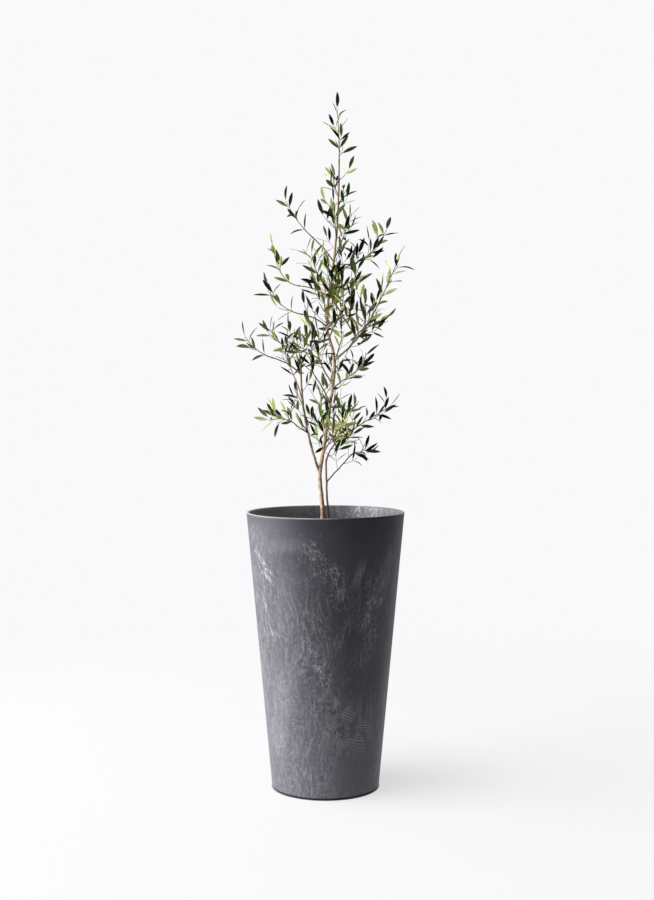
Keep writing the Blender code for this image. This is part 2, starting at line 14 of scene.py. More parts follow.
import bmesh
import bpy
import numpy as np
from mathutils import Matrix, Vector

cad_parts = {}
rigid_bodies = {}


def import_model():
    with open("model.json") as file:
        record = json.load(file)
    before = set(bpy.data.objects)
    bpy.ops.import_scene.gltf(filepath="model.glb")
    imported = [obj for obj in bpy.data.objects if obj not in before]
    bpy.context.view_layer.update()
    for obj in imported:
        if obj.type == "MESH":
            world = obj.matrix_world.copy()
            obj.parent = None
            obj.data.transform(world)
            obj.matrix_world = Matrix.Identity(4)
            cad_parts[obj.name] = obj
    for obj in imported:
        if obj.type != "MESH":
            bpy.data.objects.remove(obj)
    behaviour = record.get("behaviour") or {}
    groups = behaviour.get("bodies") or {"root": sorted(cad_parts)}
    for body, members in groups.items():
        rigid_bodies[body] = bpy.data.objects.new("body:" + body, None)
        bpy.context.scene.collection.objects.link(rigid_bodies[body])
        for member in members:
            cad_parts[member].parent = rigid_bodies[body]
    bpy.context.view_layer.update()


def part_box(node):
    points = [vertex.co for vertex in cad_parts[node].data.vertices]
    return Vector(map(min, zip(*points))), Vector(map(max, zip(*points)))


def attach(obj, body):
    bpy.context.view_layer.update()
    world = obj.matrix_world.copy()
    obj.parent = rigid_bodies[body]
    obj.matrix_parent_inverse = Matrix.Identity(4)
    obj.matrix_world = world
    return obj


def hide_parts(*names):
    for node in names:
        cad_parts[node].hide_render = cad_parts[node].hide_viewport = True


bl_info = {
    "name": "Potted olive tree",
    "version": (1, 0, 0),
    "blender": (4, 5, 0),
    "location": "3D View > Sidebar > Olive tree",
    "description": "Bark, twigs, leaves, planter and soil of a young olive tree",
    "category": "Object",
}

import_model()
pot_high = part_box("pot")[1]
soil_low, soil_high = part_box("soil")

BODY = "root"

# Camera: stands level with the lower crown and looks slightly down
CAMERA_PLACE = (0.0027, -2.356, 0.6916)
CAMERA_TILT = math.radians(87.75)
CAMERA_LENS_MM = 53.28
CAMERA_SENSOR_MM = 36.0

# Stage
FLOOR_RADIUS = 3.2
FLOOR_SIDES = 64
FLOOR_CONTACT = (0.093, 0.098)
FLOOR_FADE = (0.75, 1.7)
BACKDROP_COLOUR = (0.947, 0.947, 0.960)
WINDOW_PLACE = (-5.8, -1.0, 1.4)
WINDOW_TARGET = (0.0, 0.0, 1.4)
WINDOW_SIZE = (7.5, 2.8)
OVERHEAD_PLACE = (-0.7, -0.4, 3.0)
OVERHEAD_SPREAD = math.radians(32)

# Planter, in the frame's own sizes
POT_HEIGHT = pot_high.z
POT_TOP_RADIUS = pot_high.x
POT_FOOT_RADIUS = 0.095
POT_MEAN_RADIUS = (POT_TOP_RADIUS + POT_FOOT_RADIUS) / 2
POT_WALL = 0.0045
POT_FOOT_ROUND = 0.004
POT_RIM_ROUND = 0.0021
POT_SIDES = 224
POT_SIDE_ROWS = 120
POT_INNER_ROWS = 40
POT_ROUND_STEPS = 6
POT_FLOOR = 0.007
POT_RECESS_RADIUS = 0.082
POT_RECESS_DEPTH = 0.0012
POT_SHARP_ANGLE = math.radians(50)
POT_CURL_SHADE = (0.014, 0.0135, 0.016)
POT_DRIP_COLOUR = (0.62, 0.62, 0.64)
# Painted shade: the near-black colour of the foot's lowest edge stands for the contact shadow under the
# planter
POT_CONTACT_SHADE_COLOUR = (0.010, 0.007, 0.006)
POT_SHEEN_COLOUR = (0.93, 0.89, 1.0, 1.0)
DRIP_LEAN = -74

# Where a mark starts and ends to fade along it and across it, as shares of its size from its middle
MARK_TAPER = (0.20, 0.5)
MARK_EDGE = (0.12, 0.5)

# Waves a metre of the planter's patterns
CLOUD_SCALE = 8.0
FIBRE_SCALE = 240.0
SCRIBBLE_SCALE = 56.0
FLECK_SCALE = 330.0
MOTTLE_SCALE = 190.0
THREAD_SCALE = 105.0
THREAD_STRETCH = 0.28
RIPPLE_SCALE = 1250.0

# Soil
SOIL_SEED = 7
SOIL_SIDES = 168
SOIL_TOP_ROWS = 70
SOIL_WALL_ROWS = 6
SOIL_WAVES = 26
SOIL_WAVE_LENGTHS = (0.006, 0.045)
SOIL_WAVE_HEIGHT = 0.0022
SOIL_CROWN_RADIUS = 0.045
SOIL_WAVE_POWER = 0.6
SOIL_EDGE_DROP = 0.004
SOIL_COLOURS = (0.030, 0.020, 0.014), (0.085, 0.058, 0.038), (0.19, 0.14, 0.10)
CRUMB_SEED = 19
CRUMB_COUNT = 900
CRUMB_SIZES = (0.0008, 0.0034)
CRUMB_MARGIN = 0.006
CRUMB_NEAREST = 0.004
CRUMB_LIFT = 0.3
CRUMB_LUMPS = (0.7, 1.15)
CRUMB_FLATNESS = (0.55, 1.0)

# Trunk: its bends as (height, x, y), its taper and the flare at its foot
TRUNK_BENDS = (
    (0.450, -0.003, 0.000),
    (0.505, -0.006, 0.001),
    (0.555, -0.010, 0.002),
    (0.598, -0.004, 0.001),
    (0.673, 0.007, -0.002),
    (0.763, 0.015, 0.000),
    (0.815, 0.003, 0.003),
    (0.864, 0.005, 0.004),
    (0.934, 0.015, 0.002),
    (1.039, 0.023, 0.000),
    (1.105, 0.024, 0.001),
)
TRUNK_RADII = (0.0039, 0.0012)
TRUNK_TAPER_POWER = 0.9
TRUNK_FLARE = 0.0030
TRUNK_FLARE_HEIGHT = 0.010
TRUNK_FLARE_LOBES = 0.30
TRUNK_LOBES = 4
TRUNK_LOBE_TURN = 0.7
TRUNK_POINTS = 161
SECOND_STEM_FOOT = (0.0075, 0.0090)

# Clearance between two neighbouring solids of the frame
GAP = 0.0003

# Twigs and leaves of the frame's rule
PATH_POINTS = 61
LEAVING_SHARE = 1 / 6
LIMB_STEP = 4
STEM_STEP = 6
STEM_TIP_RADIUS = 0.0006
STEM_FIRST_LEAF = 0.10
TWIG_RADII = (0.0008, 0.0005)
TWIG_RINGS = 3
TWIG_SPAN = (0.12, 0.88)
TWIG_SCATTER = 0.7
TWIG_TAPER = (1.15, 0.70)
TWIG_LENGTH_SPREAD = (0.85, 1.15)
TWIG_ANGLE = math.radians(52)
TWIG_LIFT = 0.30
TWIG_FIRST_LEAF = 0.35
LAST_PAIR = 0.985
TIP_LEAF = 0.99
TIP_LEAF_ANGLE = math.radians(15)
LEAF_LENGTH = (0.027, 0.034)
LEAF_WIDTH_SHARE = 0.245
LEAF_STAGGER = 0.0008
LEAF_SCATTER = 0.25
LEAF_ANGLE = math.radians(50)
LEAF_ANGLE_SPREAD = (0.8, 1.2)
LEAF_LIFT = 0.22
LEAF_FACE_LEAN = (0.35, 0.30)
LEAF_APART = 0.0030
LEAF_TEST_FROM = 0.20
LEAF_TEST_POINTS = 7
SPACE_BETWEEN = 0.0008

# The finer growth between them: sprays of small leafy twigs
SPRAY_TURN = math.radians(137.5)
SPRAY_PLACES = (0.2, 0.8)
SPRAY_TWIG_RADII = (0.00055, 0.00040)
SPRAY_LENGTH_SPREAD = (0.75, 1.2)
SPRAY_ANGLE_SPREAD = (0.8, 1.25)
SPRAY_LEAF_LENGTH = (0.022, 0.033)
SPRAY_LEAF_SPACING = 0.014
SPRAY_FIRST_LEAF = 0.30
SPRAY_CLEAR_FROM = 3
SPRAY_SPACE_BETWEEN = 0.0003
SPRAY_LEAF_APART = 0.0024

# Bark relief
BARK_RING_SPACING = 0.0011
BARK_TRUNK_SIDES = 26
BARK_LIMB_SIDES = 14
BARK_JOINT_SPACING = 0.021
BARK_JOINT_SCATTER = 0.2
BARK_JOINT_WIDTH = 0.0018
BARK_JOINT_SWELL = 0.16
BARK_JOINT_ROUND = (0.6, 0.4)
BARK_RIDGES = ((3, 0.030, 0.120), (5, 0.020, 0.060), (8, 0.012, 0.030))
BARK_PORES_PER_M = 520
BARK_PORE_SIZE = (0.00045, 0.00030)
BARK_PORE_HEIGHT = 0.00012
BARK_SWAY = 0.0003
BARK_SWAY_LENGTHS = (0.041, 0.019)
BARK_SWAY_TURNS = (2 * math.pi, 6)
BARK_SWAY_PHASE = 1.0
PHASES = (0, 6)
BARK_COLLAR = 0.45
BARK_COLLAR_LENGTH = 0.004
PORE_COLOUR = (0.42, 0.36, 0.27)

# Twig and leaf meshes
LEAST_RINGS = 4
SHOOT_RING_SPACING = 0.0032
SHOOT_SIDES = 8
TWIG_SIDES = 6
TWIG_POINTS = 9
NODE_SWELL = 0.35
NODE_WIDTH = 0.0011
LEAF_STATIONS = (0.09, 0.22, 0.42, 0.64, 0.84)
LEAF_STALK = 0.09
LEAF_STALK_WIDTH = 0.10
LEAF_STALK_END = 0.5
LEAF_LANCE_POWERS = (0.92, 0.82)
LEAF_THICKNESS = 0.0006
LEAF_COLUMNS = np.array([-1.0, -0.5, 0.0, 0.5, 1.0, 0.5, 0.0, -0.5])
LEAF_TOP_FACES = 4
LEAF_ARCH = (-0.15, 0.75)
LEAF_LEAST_ARCH = 0.02
LEAF_FOLD = (0.08, 0.34)
LEAF_TWIST = (-0.55, 0.55)
LEAF_WIDTH_SPREAD = (0.78, 1.00)
LEAF_ROLL = math.radians(50)
LEAF_SHARP_ANGLE = math.radians(70)
LEAF_SHEEN_COLOUR = (1.0, 0.97, 0.45, 1.0)

# For each side of a leaf: how far its mottle goes to white, its roughness, its gloss and its bump
LEAF_TOP_LOOK = (0.004, 0.42, 0.08, 0.3)
LEAF_UNDER_LOOK = (0.04, 0.70, 0.30, 0.5)

# How thin the bark counts as, from 0 to 1: a limb's by its radius, from all thin to not thin, and a stem's
# and a twig's from root to tip
THIN_RADII = (0.0011, 0.0031)
STEM_THINNESS = (0.15, 0.8)
TWIG_THINNESS = (0.5, 1.0)

# Numbers of sockets whose names other sockets share, or whose names say less
GENERATED_OUTPUT, OBJECT_OUTPUT = 0, 3
ATTRIBUTE_NUMBER = 2
MIX_COLOURS, MIX_RESULT = (6, 7), 2

UP = np.array([0.0, 0.0, 1.0])
NEARLY_UP = np.array([0.0, 0.0001, 1.0])
ODD_DIRECTION = np.array([0.31, 0.67, 0.19])
STRAIGHT = 0.05


def cell(word):
    """A table's word: a name, a number or a whole number."""
    if word[0].isalpha():
        return word
    return float(word) if "." in word else int(word)


def table(kind, text):
    """The rows of a table, of that kind of tuple, from lines of words."""
    return tuple(kind(*map(cell, line.split())) for line in text.strip().splitlines())


# A limb or shoot leaves `parent` at `share` of its length. It ends `reach` away towards `bearing` (degrees,
# 0 is +X and 90 is +Y) and `rise` higher, and its middle bows by `bow` up and back over itself. Its radius
# goes from `root` to `tip`. A shoot has twigs about `twig_length` long and a pair of leaves every `spacing`.
Limb = namedtuple("Limb", "name parent share bearing reach rise bow root tip")
Shoot = namedtuple("Shoot", "name parent share bearing reach rise bow root twigs twig_length spacing seed")
LIMBS = table(Limb, """
second_stem soil 0 225 .009 .128 -.002 .0021 .0015
left_stem trunk .162 192 .034 .181 -.008 .0024 .0015
left_long_bough left_stem .97 190 .05 .029 .004 .0014 .001
left_low_bough left_stem .38 222 .025 .012 0 .0013 .001
back_left_bough left_stem .66 108 .045 .044 .003 .0013 .001
left_mid_bough trunk .405 172 .029 .062 -.004 .0016 .0012
left_side_bough left_mid_bough .72 152 .05 .018 .002 .0012 .001
upper_left_bough trunk .56 196 .046 .022 .004 .0013 .001
far_left_bough trunk .64 156 .056 .022 .004 .0013 .001
long_left_bough trunk .735 188 .037 .042 .002 .0013 .001
right_bough trunk .47 346 .068 .076 -.006 .0019 .0013
front_cross_bough right_bough .52 203 .068 .1 0 .0014 .001
right_upright_bough front_cross_bough .26 60 .012 .03 -.003 .0012 .001
upper_right_bough trunk .69 18 .04 .027 .003 .0013 .001
mid_right_bough trunk .395 330 .04 .024 0 .0013 .001
low_right_bough second_stem 1 348 .046 .056 -.004 .0014 .001
lowest_right_bough second_stem .72 22 .046 .046 0 .0012 .001
front_low_bough trunk .205 290 .038 .028 .002 .0013 .001
back_low_bough trunk .265 97 .052 .036 .003 .0013 .001
front_mid_bough trunk .35 240 .046 .045 .003 .0013 .001
back_mid_bough trunk .45 78 .054 .045 .003 .0013 .001
back_right_bough right_bough .36 66 .046 .028 .003 .0013 .001
back_upper_bough trunk .55 96 .046 .04 .003 .0013 .001
front_upper_bough trunk .53 296 .036 .036 .002 .0013 .001
back_top_bough trunk .74 66 .028 .03 0 .0012 .001
""")
SHOOTS = table(Shoot, """
left_long_leaves left_long_bough 1 191 .049 .037 0 .001 1 .018 .02 11
left_low_leaves left_low_bough 1 196 .05 .01 .004 .001 5 .026 .016 12
left_stem_leaves left_stem .66 205 .014 .032 -.002 .0009 1 .018 .015 42
left_head_leaves left_stem 1 235 .016 .062 0 .0012 2 .022 .018 13
back_left_leaves back_left_bough 1 120 .048 .056 0 .001 3 .028 .019 14
left_mid_leaves left_mid_bough 1 190 .022 .078 0 .0011 3 .028 .018 15
left_side_leaves left_side_bough 1 170 .048 .03 0 .001 3 .024 .019 16
upper_left_leaves upper_left_bough 1 190 .06 .042 0 .001 2 .022 .02 17
far_left_leaves far_left_bough 1 172 .048 .07 0 .001 1 .018 .026 18
long_left_leaves long_left_bough 1 182 .047 .064 0 .001 1 .02 .021 19
front_cross_leaves front_cross_bough 1 232 .026 .044 0 .001 3 .026 .017 20
right_far_leaves right_bough 1 4 .046 .1 0 .0012 3 .022 .022 21
right_near_leaves right_bough .7 325 .044 .02 .002 .0009 4 .026 .017 40
right_upright_leaves right_upright_bough 1 330 .014 .062 0 .001 5 .034 .017 22
upper_right_leaves upper_right_bough 1 14 .062 .062 0 .001 2 .022 .02 23
mid_right_leaves mid_right_bough 1 350 .026 .028 0 .001 3 .02 .018 24
low_right_leaves low_right_bough 1 352 .068 .042 0 .001 4 .026 .02 25
low_inner_leaves low_right_bough .5 316 .03 .062 0 .001 6 .034 .016 26
lowest_right_leaves lowest_right_bough 1 8 .026 .004 0 .001 2 .018 .016 27
front_low_leaves front_low_bough 1 276 .042 .026 0 .001 5 .032 .016 28
back_low_leaves back_low_bough 1 88 .054 .05 0 .001 4 .03 .019 29
front_mid_leaves front_mid_bough 1 262 .052 .06 0 .001 4 .03 .017 30
back_mid_leaves back_mid_bough 1 96 .056 .058 0 .001 4 .03 .019 31
back_right_leaves back_right_bough 1 82 .052 .058 0 .001 4 .03 .019 32
back_upper_leaves back_upper_bough 1 84 .048 .06 0 .001 5 .03 .018 33
front_upper_leaves front_upper_bough 1 280 .036 .054 0 .001 5 .03 .016 34
centre_leaves trunk .6 345 .026 .066 -.004 .001 5 .03 .016 41
back_top_leaves back_top_bough 1 50 .026 .05 0 .001 3 .022 .019 35
front_top_leaves trunk .8 262 .034 .058 -.003 .001 3 .022 .017 36
leader_left_leaves trunk .91 165 .01 .04 -.003 .0009 1 .016 .016 37
leader_right_leaves trunk .885 15 .009 .034 -.003 .0009 1 .014 .018 38
leader_tip_leaves trunk 1 170 .004 .094 0 .001 0 0 .03 39
""")

# A spray is `count` small twigs about `length` long, along its carrier from one share of it to another
Spray = namedtuple("Spray", "carrier first last count length seed")
SPRAYS = table(Spray, """
trunk .2 .34 5 .03 5015
left_stem .25 .6 4 .026 5100
trunk .36 .52 6 .03 5229
trunk .52 .72 9 .032 5315
trunk .72 .97 9 .022 5429
right_bough .25 .95 6 .024 5528
front_cross_bough .1 .95 8 .03 5602
upper_right_bough .25 .95 4 .022 5701
upper_right_leaves .02 .4 3 .019 5825
mid_right_bough .3 .95 4 .021 5907
left_stem .62 .95 3 .024 6015
left_mid_bough .4 .95 4 .021 6110
low_right_bough .1 .98 10 .03 6320
leader_tip_leaves .05 .7 3 .01 6419
lowest_right_bough .4 .95 3 .026 6506
front_low_bough .3 .95 4 .028 6611
back_right_bough .3 .95 4 .028 7000
left_side_bough .4 .95 4 .028 7206
front_upper_bough .4 .95 3 .024 7409
left_low_leaves .1 .6 3 .02 7600
""")

# Leaf finishes: the share of sprays, then the colours of the upper side and of the underside
DEALER_SEED = 5000
LeafKind = namedtuple("LeafKind", "name share top under")
LEAF_KINDS = (
    # The dark kind is a shaded copy of the leaf: its near-black upper side and its dark underside, where an
    # olive's is silvery, are painted shade
    LeafKind("dark", 0.53, (0.004, 0.009, 0.001), (0.050, 0.064, 0.012)),
    LeafKind("green", 0.21, (0.007, 0.042, 0.004), (0.245, 0.310, 0.070)),
    LeafKind("grey", 0.13, (0.038, 0.064, 0.010), (0.530, 0.560, 0.210)),
    LeafKind("pale", 0.12, (0.250, 0.278, 0.085), (0.800, 0.785, 0.400)),
    LeafKind("young", 0.01, (0.135, 0.222, 0.020), (0.270, 0.345, 0.068)),
)

# What often carries new leaves
NEW_GROWTH_CHANCE = 0.18
NEW_GROWTH = {
    "left_low_leaves": "pale",
    "left_long_leaves": "young",
    "far_left_leaves": "young",
    "right_far_leaves": "young",
    "leader_tip_leaves": "grey",
}

# Marks on the planter's wall. A mark is centred at a bearing (degrees, 0 is the front and 90 is +X) and a
# height, leans by so many degrees from the level, and bows sideways. Bold strokes are broken into threads
# that run at the nearest of the grains' leans.
Mark = namedtuple("Mark", "bearing height lean length width bow strength")
STROKE_GRAINS = (-44, -74, 60)
STROKES = table(Mark, """
-56 .412 -43 .098 .016 0 1.8
-48 .384 -44 .05 .018 -.002 1.2
-66 .462 50 .05 .024 .004 1.1
-58 .392 -74 .055 .02 .002 1.2
-70 .37 -80 .085 .02 .002 1
-55 .333 -70 .07 .01 .003 1.2
-48 .28 -66 .075 .008 -.003 1.2
-38 .262 -70 .07 .01 -.003 .6
-8 .24 -70 .08 .02 .003 .55
-4 .42 -46 .095 .038 .002 .42
10 .38 -72 .08 .034 .002 .42
-9 .392 36 .06 .014 -.002 .4
36 .326 64 .08 .034 .002 .6
40 .3 -50 .055 .024 .002 .55
27 .402 74 .07 .018 .002 .4
52 .36 56 .08 .026 .004 .4
2 .205 -74 .12 .036 .004 .4
14 .29 66 .08 .03 .004 .3
-16 .33 70 .11 .036 .004 .3
-56 .08 -64 .09 .016 .004 .5
122 .36 -52 .1 .026 .004 1.2
140 .3 66 .09 .024 .003 .9
168 .25 -66 .13 .018 -.004 1
-165 .39 -48 .09 .034 .004 .9
-140 .3 66 .09 .026 .003 .9
-112 .16 -52 .09 .02 .003 .9
""")

# Soft pale smears, where the scribbled curls gather, where the ripples lie, and where the wall stays plain.
# Of the smears, the two upright ones at bearings 84 and -86 are a painted reflection down the right edge
# and painted light low on the left edge.
SMEARS = table(Mark, """
-30 .442 8 .1 .036 .004 .16
-60 .44 60 .09 .05 .004 .12
-32 .35 84 .16 .06 -.01 .12
24 .392 78 .07 .026 .003 .18
50 .39 60 .11 .04 .003 .22
-46 .15 74 .2 .07 .006 .24
84 .24 90 .7 .12 0 .25
-86 .14 90 .36 .09 0 .15
130 .41 30 .12 .05 .006 .24
-150 .34 -40 .14 .05 .006 .24
175 .14 70 .15 .06 .006 .22
""")
CURLS = table(Mark, """
-4 .415 -46 .12 .06 .002 .9
10 .37 -74 .1 .06 .002 .9
-6 .215 -84 .3 .09 .01 1
-62 .3 86 .26 .06 .006 .8
36 .31 80 .24 .08 .006 .7
130 .26 80 .38 .11 .01 .9
-150 .24 -80 .38 .11 .01 .9
""")
RIPPLES = table(Mark, """
24 .13 -44 .17 .1 .004 1
-160 .2 30 .12 .08 .004 .9
""")
PLAIN = table(Mark, """
26 .44 0 .15 .11 0 .9
34 .045 0 .13 .13 0 .8
-172 .06 0 .15 .12 0 .8
""")


def unit(vector):
    """The vector at length one, or each row of an array of them."""
    return vector / np.linalg.norm(vector, axis=-1, keepdims=True)


def swung(one, other, angle):
    """One direction turned by an angle towards another that is square to it."""
    return one * np.cos(angle) + other * np.sin(angle)


def between(low, high, share):
    """The number at a share of the way from one to another."""
    return low + (high - low) * share


def bell(away, width):
    """1 where `away` is 0, falling off smoothly over the width."""
    return np.exp(-((away / width) ** 2))


def turns(sides):
    """That many equal turns round a circle."""
    return np.arange(sides) * 2 * math.pi / sides


def distances(path):
    """How far along the path each of its points lies."""
    return np.concatenate([[0.0], np.cumsum(np.linalg.norm(np.diff(path, axis=0), axis=1))])


def along(path, share):
    """The point and the heading of a path at a share of its length."""
    lengths = distances(path)
    target = share * lengths[-1]
    place = min(max(int(np.searchsorted(lengths, target)), 1), len(path) - 1)
    part = (target - lengths[place - 1]) / (lengths[place] - lengths[place - 1])
    run = path[place] - path[place - 1]
    return path[place - 1] + part * run, unit(run)


def evenly(path, count):
    """The path again, as `count` points at equal steps along its length."""
    lengths = distances(path)
    places = np.linspace(0.0, lengths[-1], count)
    return np.column_stack([np.interp(places, lengths, path[:, axis]) for axis in range(3)])


def trunk_path():
    """A smooth cubic through the trunk's bends, with the slope at each taken from its two neighbours."""
    bends = np.array([(x, y, z) for z, x, y in TRUNK_BENDS])
    slopes = np.gradient(bends[:, :2], bends[:, 2], axis=0)
    heights = np.linspace(bends[0, 2], bends[-1, 2], TRUNK_POINTS)
    span = np.clip(np.searchsorted(bends[:, 2], heights) - 1, 0, len(bends) - 2)
    low, high = bends[span], bends[span + 1]
    size = (high[:, 2] - low[:, 2])[:, None]
    t = (heights - low[:, 2])[:, None] / size
    sideways = (
        (2 * t**3 - 3 * t**2 + 1) * low[:, :2]
        + (t**3 - 2 * t**2 + t) * size * slopes[span]
        + (3 * t**2 - 2 * t**3) * high[:, :2]
        + (t**3 - t**2) * size * slopes[span + 1]
    )
    return np.column_stack([sideways, heights])


def limb_path(start, heading, limb):
    """A parabola from `start` to the limb's end. One that goes on from a tip sets out along `heading`."""
    bearing = math.radians(limb.bearing)
    out = np.array([math.cos(bearing), math.sin(bearing), 0.0])
    end = start + out * limb.reach + UP * limb.rise
    length = np.linalg.norm(end - start)
    middle = start + heading * length / 2 if limb.share == 1 else (start + end) / 2
    middle = middle + 2 * limb.bow * (UP * limb.reach - out * limb.rise) / length
    t = np.linspace(0.0, 1.0, PATH_POINTS)[:, None]
    return (1 - t) ** 2 * start + 2 * t * (1 - t) * middle + t**2 * end


def seated(path, foot, heading, radius):
    """The path from a gap clear of its parent's surface onwards."""
    leaving = path[round(len(path) * LEAVING_SHARE)] - foot
    normal = unit(leaving - heading * np.dot(leaving, heading))
    height = (path - foot) @ normal - (radius + GAP)
    first = int(np.argmax(height > 0))
    part = height[first] / (height[first] - height[first - 1])
    return np.vstack([path[first] + part * (path[first - 1] - path[first]), path[first:]])


def distance_to_path(points, path, radii=0.0):
    """The least distance from each point to a path's straight runs, or to the surface of a limb along it."""
    starts, runs = path[:-1], np.diff(path, axis=0)
    away = points[:, None, :] - starts[None]
    share = np.clip((away * runs).sum(2) / (runs**2).sum(1), 0.0, 1.0)
    return (np.linalg.norm(away - share[..., None] * runs, axis=2) - radii).min(1)


class Tree:
    """The limbs and shoots with their paths, and the tests that keep every mass in its own space."""

    def __init__(self):
        path = trunk_path()
        climb = path[:, 2] - path[0, 2]
        taper = (1 - climb / climb[-1]) ** TRUNK_TAPER_POWER
        flare = TRUNK_FLARE * np.exp(-climb / TRUNK_FLARE_HEIGHT)
        self.paths = {"trunk": path}
        self.radii = {"trunk": between(*reversed(TRUNK_RADII), taper) + flare}
        self.feet = {}
        for limb in LIMBS + SHOOTS:
            self.add(limb)

    def add(self, limb):
        """A limb's or shoot's path and radii, and its foot: a point inside its parent, and a radius."""
        foot_radius = limb.root
        if limb.parent == "soil":
            foot = np.array([*SECOND_STEM_FOOT, TRUNK_BENDS[0][0]])
            path = limb_path(foot, UP, limb)
        else:
            parent, radii = self.paths[limb.parent], self.radii[limb.parent]
            foot, heading = along(parent, limb.share)
            if limb.share == 1:
                path = limb_path(foot + heading * GAP, heading, limb)
                foot_radius = radii[-1]
            else:
                radius = np.interp(limb.share, np.linspace(0, 1, len(parent)), radii)
                path = seated(limb_path(foot, heading, limb), foot, heading, radius)
        tip = limb.tip if isinstance(limb, Limb) else STEM_TIP_RADIUS
        self.paths[limb.name] = evenly(path, PATH_POINTS)
        self.radii[limb.name] = np.linspace(limb.root, tip, PATH_POINTS)
        self.feet[limb.name] = foot, foot_radius

    def grown_line(self, name, spacing):
        """The points and radii of a limb as it shows, from inside its parent to its tip. The radius eases
        from the foot's into its own over the collar's length."""
        path, radii = self.paths[name], self.radii[name]
        foot, foot_radius = self.feet.get(name, (path[0], 0.0))
        if np.linalg.norm(foot - path[0]) > GAP / 2:
            path = np.vstack([foot, path])
            radii = np.concatenate([radii[:1], radii])
        lengths = distances(path)
        places = np.linspace(0.0, lengths[-1], max(LEAST_RINGS, round(lengths[-1] / spacing) + 1))
        radius = np.interp(places, lengths, radii)
        if name in self.feet:
            collar = max(foot_radius - radii[0], 0.0) + BARK_COLLAR * radii[0]
            radius = radius + collar * np.exp(-places / BARK_COLLAR_LENGTH)
        return evenly(path, len(places)), radius

    def is_clear(self, points, half_widths, space=SPACE_BETWEEN):
        """Whether points of those half widths touch no limb."""
        for name in ["trunk"] + [limb.name for limb in LIMBS]:
            radii = self.radii[name][:-LIMB_STEP:LIMB_STEP]
            bark = distance_to_path(points, self.paths[name][::LIMB_STEP], radii)
            if (bark < half_widths + space).any():
                return False
        return True

    def is_free(self, points, own, half_widths):
        """Whether points of those half widths lie nearest to their own stem and touch no limb."""
        mine = distance_to_path(points, self.paths[own][::STEM_STEP])
        for name in [shoot.name for shoot in SHOOTS if shoot.name != own]:
            other = distance_to_path(points, self.paths[name][::STEM_STEP])
            if (other - mine < 2 * half_widths + SPACE_BETWEEN).any():
                return False
        return self.is_clear(points, half_widths)


Leaf = namedtuple("Leaf", "carrier kind root out face length")


def spoke_of(heading, turn):
    """A direction square to the heading, turned round it from the level."""
    level = unit(np.cross(heading, NEARLY_UP))
    return swung(level, np.cross(level, heading), turn)


def twig_path(root, heading, turn, angle, length, count):
    """A twig that curves upwards, as that many points."""
    out = unit(swung(heading, spoke_of(heading, turn), angle))
    t = np.linspace(0.0, 1.0, count)[:, None]
    return root + out * length * t + UP * TWIG_LIFT * length * t**2


def leaf_places(chance, length, spacing, first):
    """The places of a twig's leaves: a share of its length, which leaf of the pair it is, a turn round the
    twig and an angle to it. They are opposite pairs, each turned from the last, and one leaf at the tip."""
    pairs = max(1, round(length * (1 - first) / spacing))
    quarter = chance.uniform(0.0, math.pi)
    for pair in range(pairs):
        share = between(first, LAST_PAIR, (pair + 0.5) / pairs)
        for half in (0, 1):
            scatter = chance.uniform(-LEAF_SCATTER, LEAF_SCATTER)
            yield share, half, quarter + (pair / 2 + half) * math.pi + scatter, LEAF_ANGLE
    yield TIP_LEAF, 0, quarter, TIP_LEAF_ANGLE


def leaf_on(path, share, turn, angle, length, carrier, kind):
    """A leaf, lifted towards the light, and for clearance tests points along it and half its width there."""
    root, heading = along(path, share)
    spoke = spoke_of(heading, turn)
    out = unit(swung(heading, spoke, angle) + UP * LEAF_LIFT)
    face = heading - spoke * LEAF_FACE_LEAN[0] + UP * LEAF_FACE_LEAN[1]
    shares = np.linspace(LEAF_TEST_FROM, 1.0, LEAF_TEST_POINTS)
    half_widths = length * LEAF_WIDTH_SHARE * np.minimum(shares, 1.0 - shares)
    return Leaf(carrier, kind, root, out, face, length), root + out * length * shares[:, None], half_widths


def deal_kind(dealer, carrier):
    """A spray's kind of leaf: dealt by the kinds' shares, or often new growth on carriers that have it."""
    if carrier in NEW_GROWTH and dealer.random() < NEW_GROWTH_CHANCE:
        return NEW_GROWTH[carrier]
    return dealer.choices([kind.name for kind in LEAF_KINDS], [kind.share for kind in LEAF_KINDS])[0]


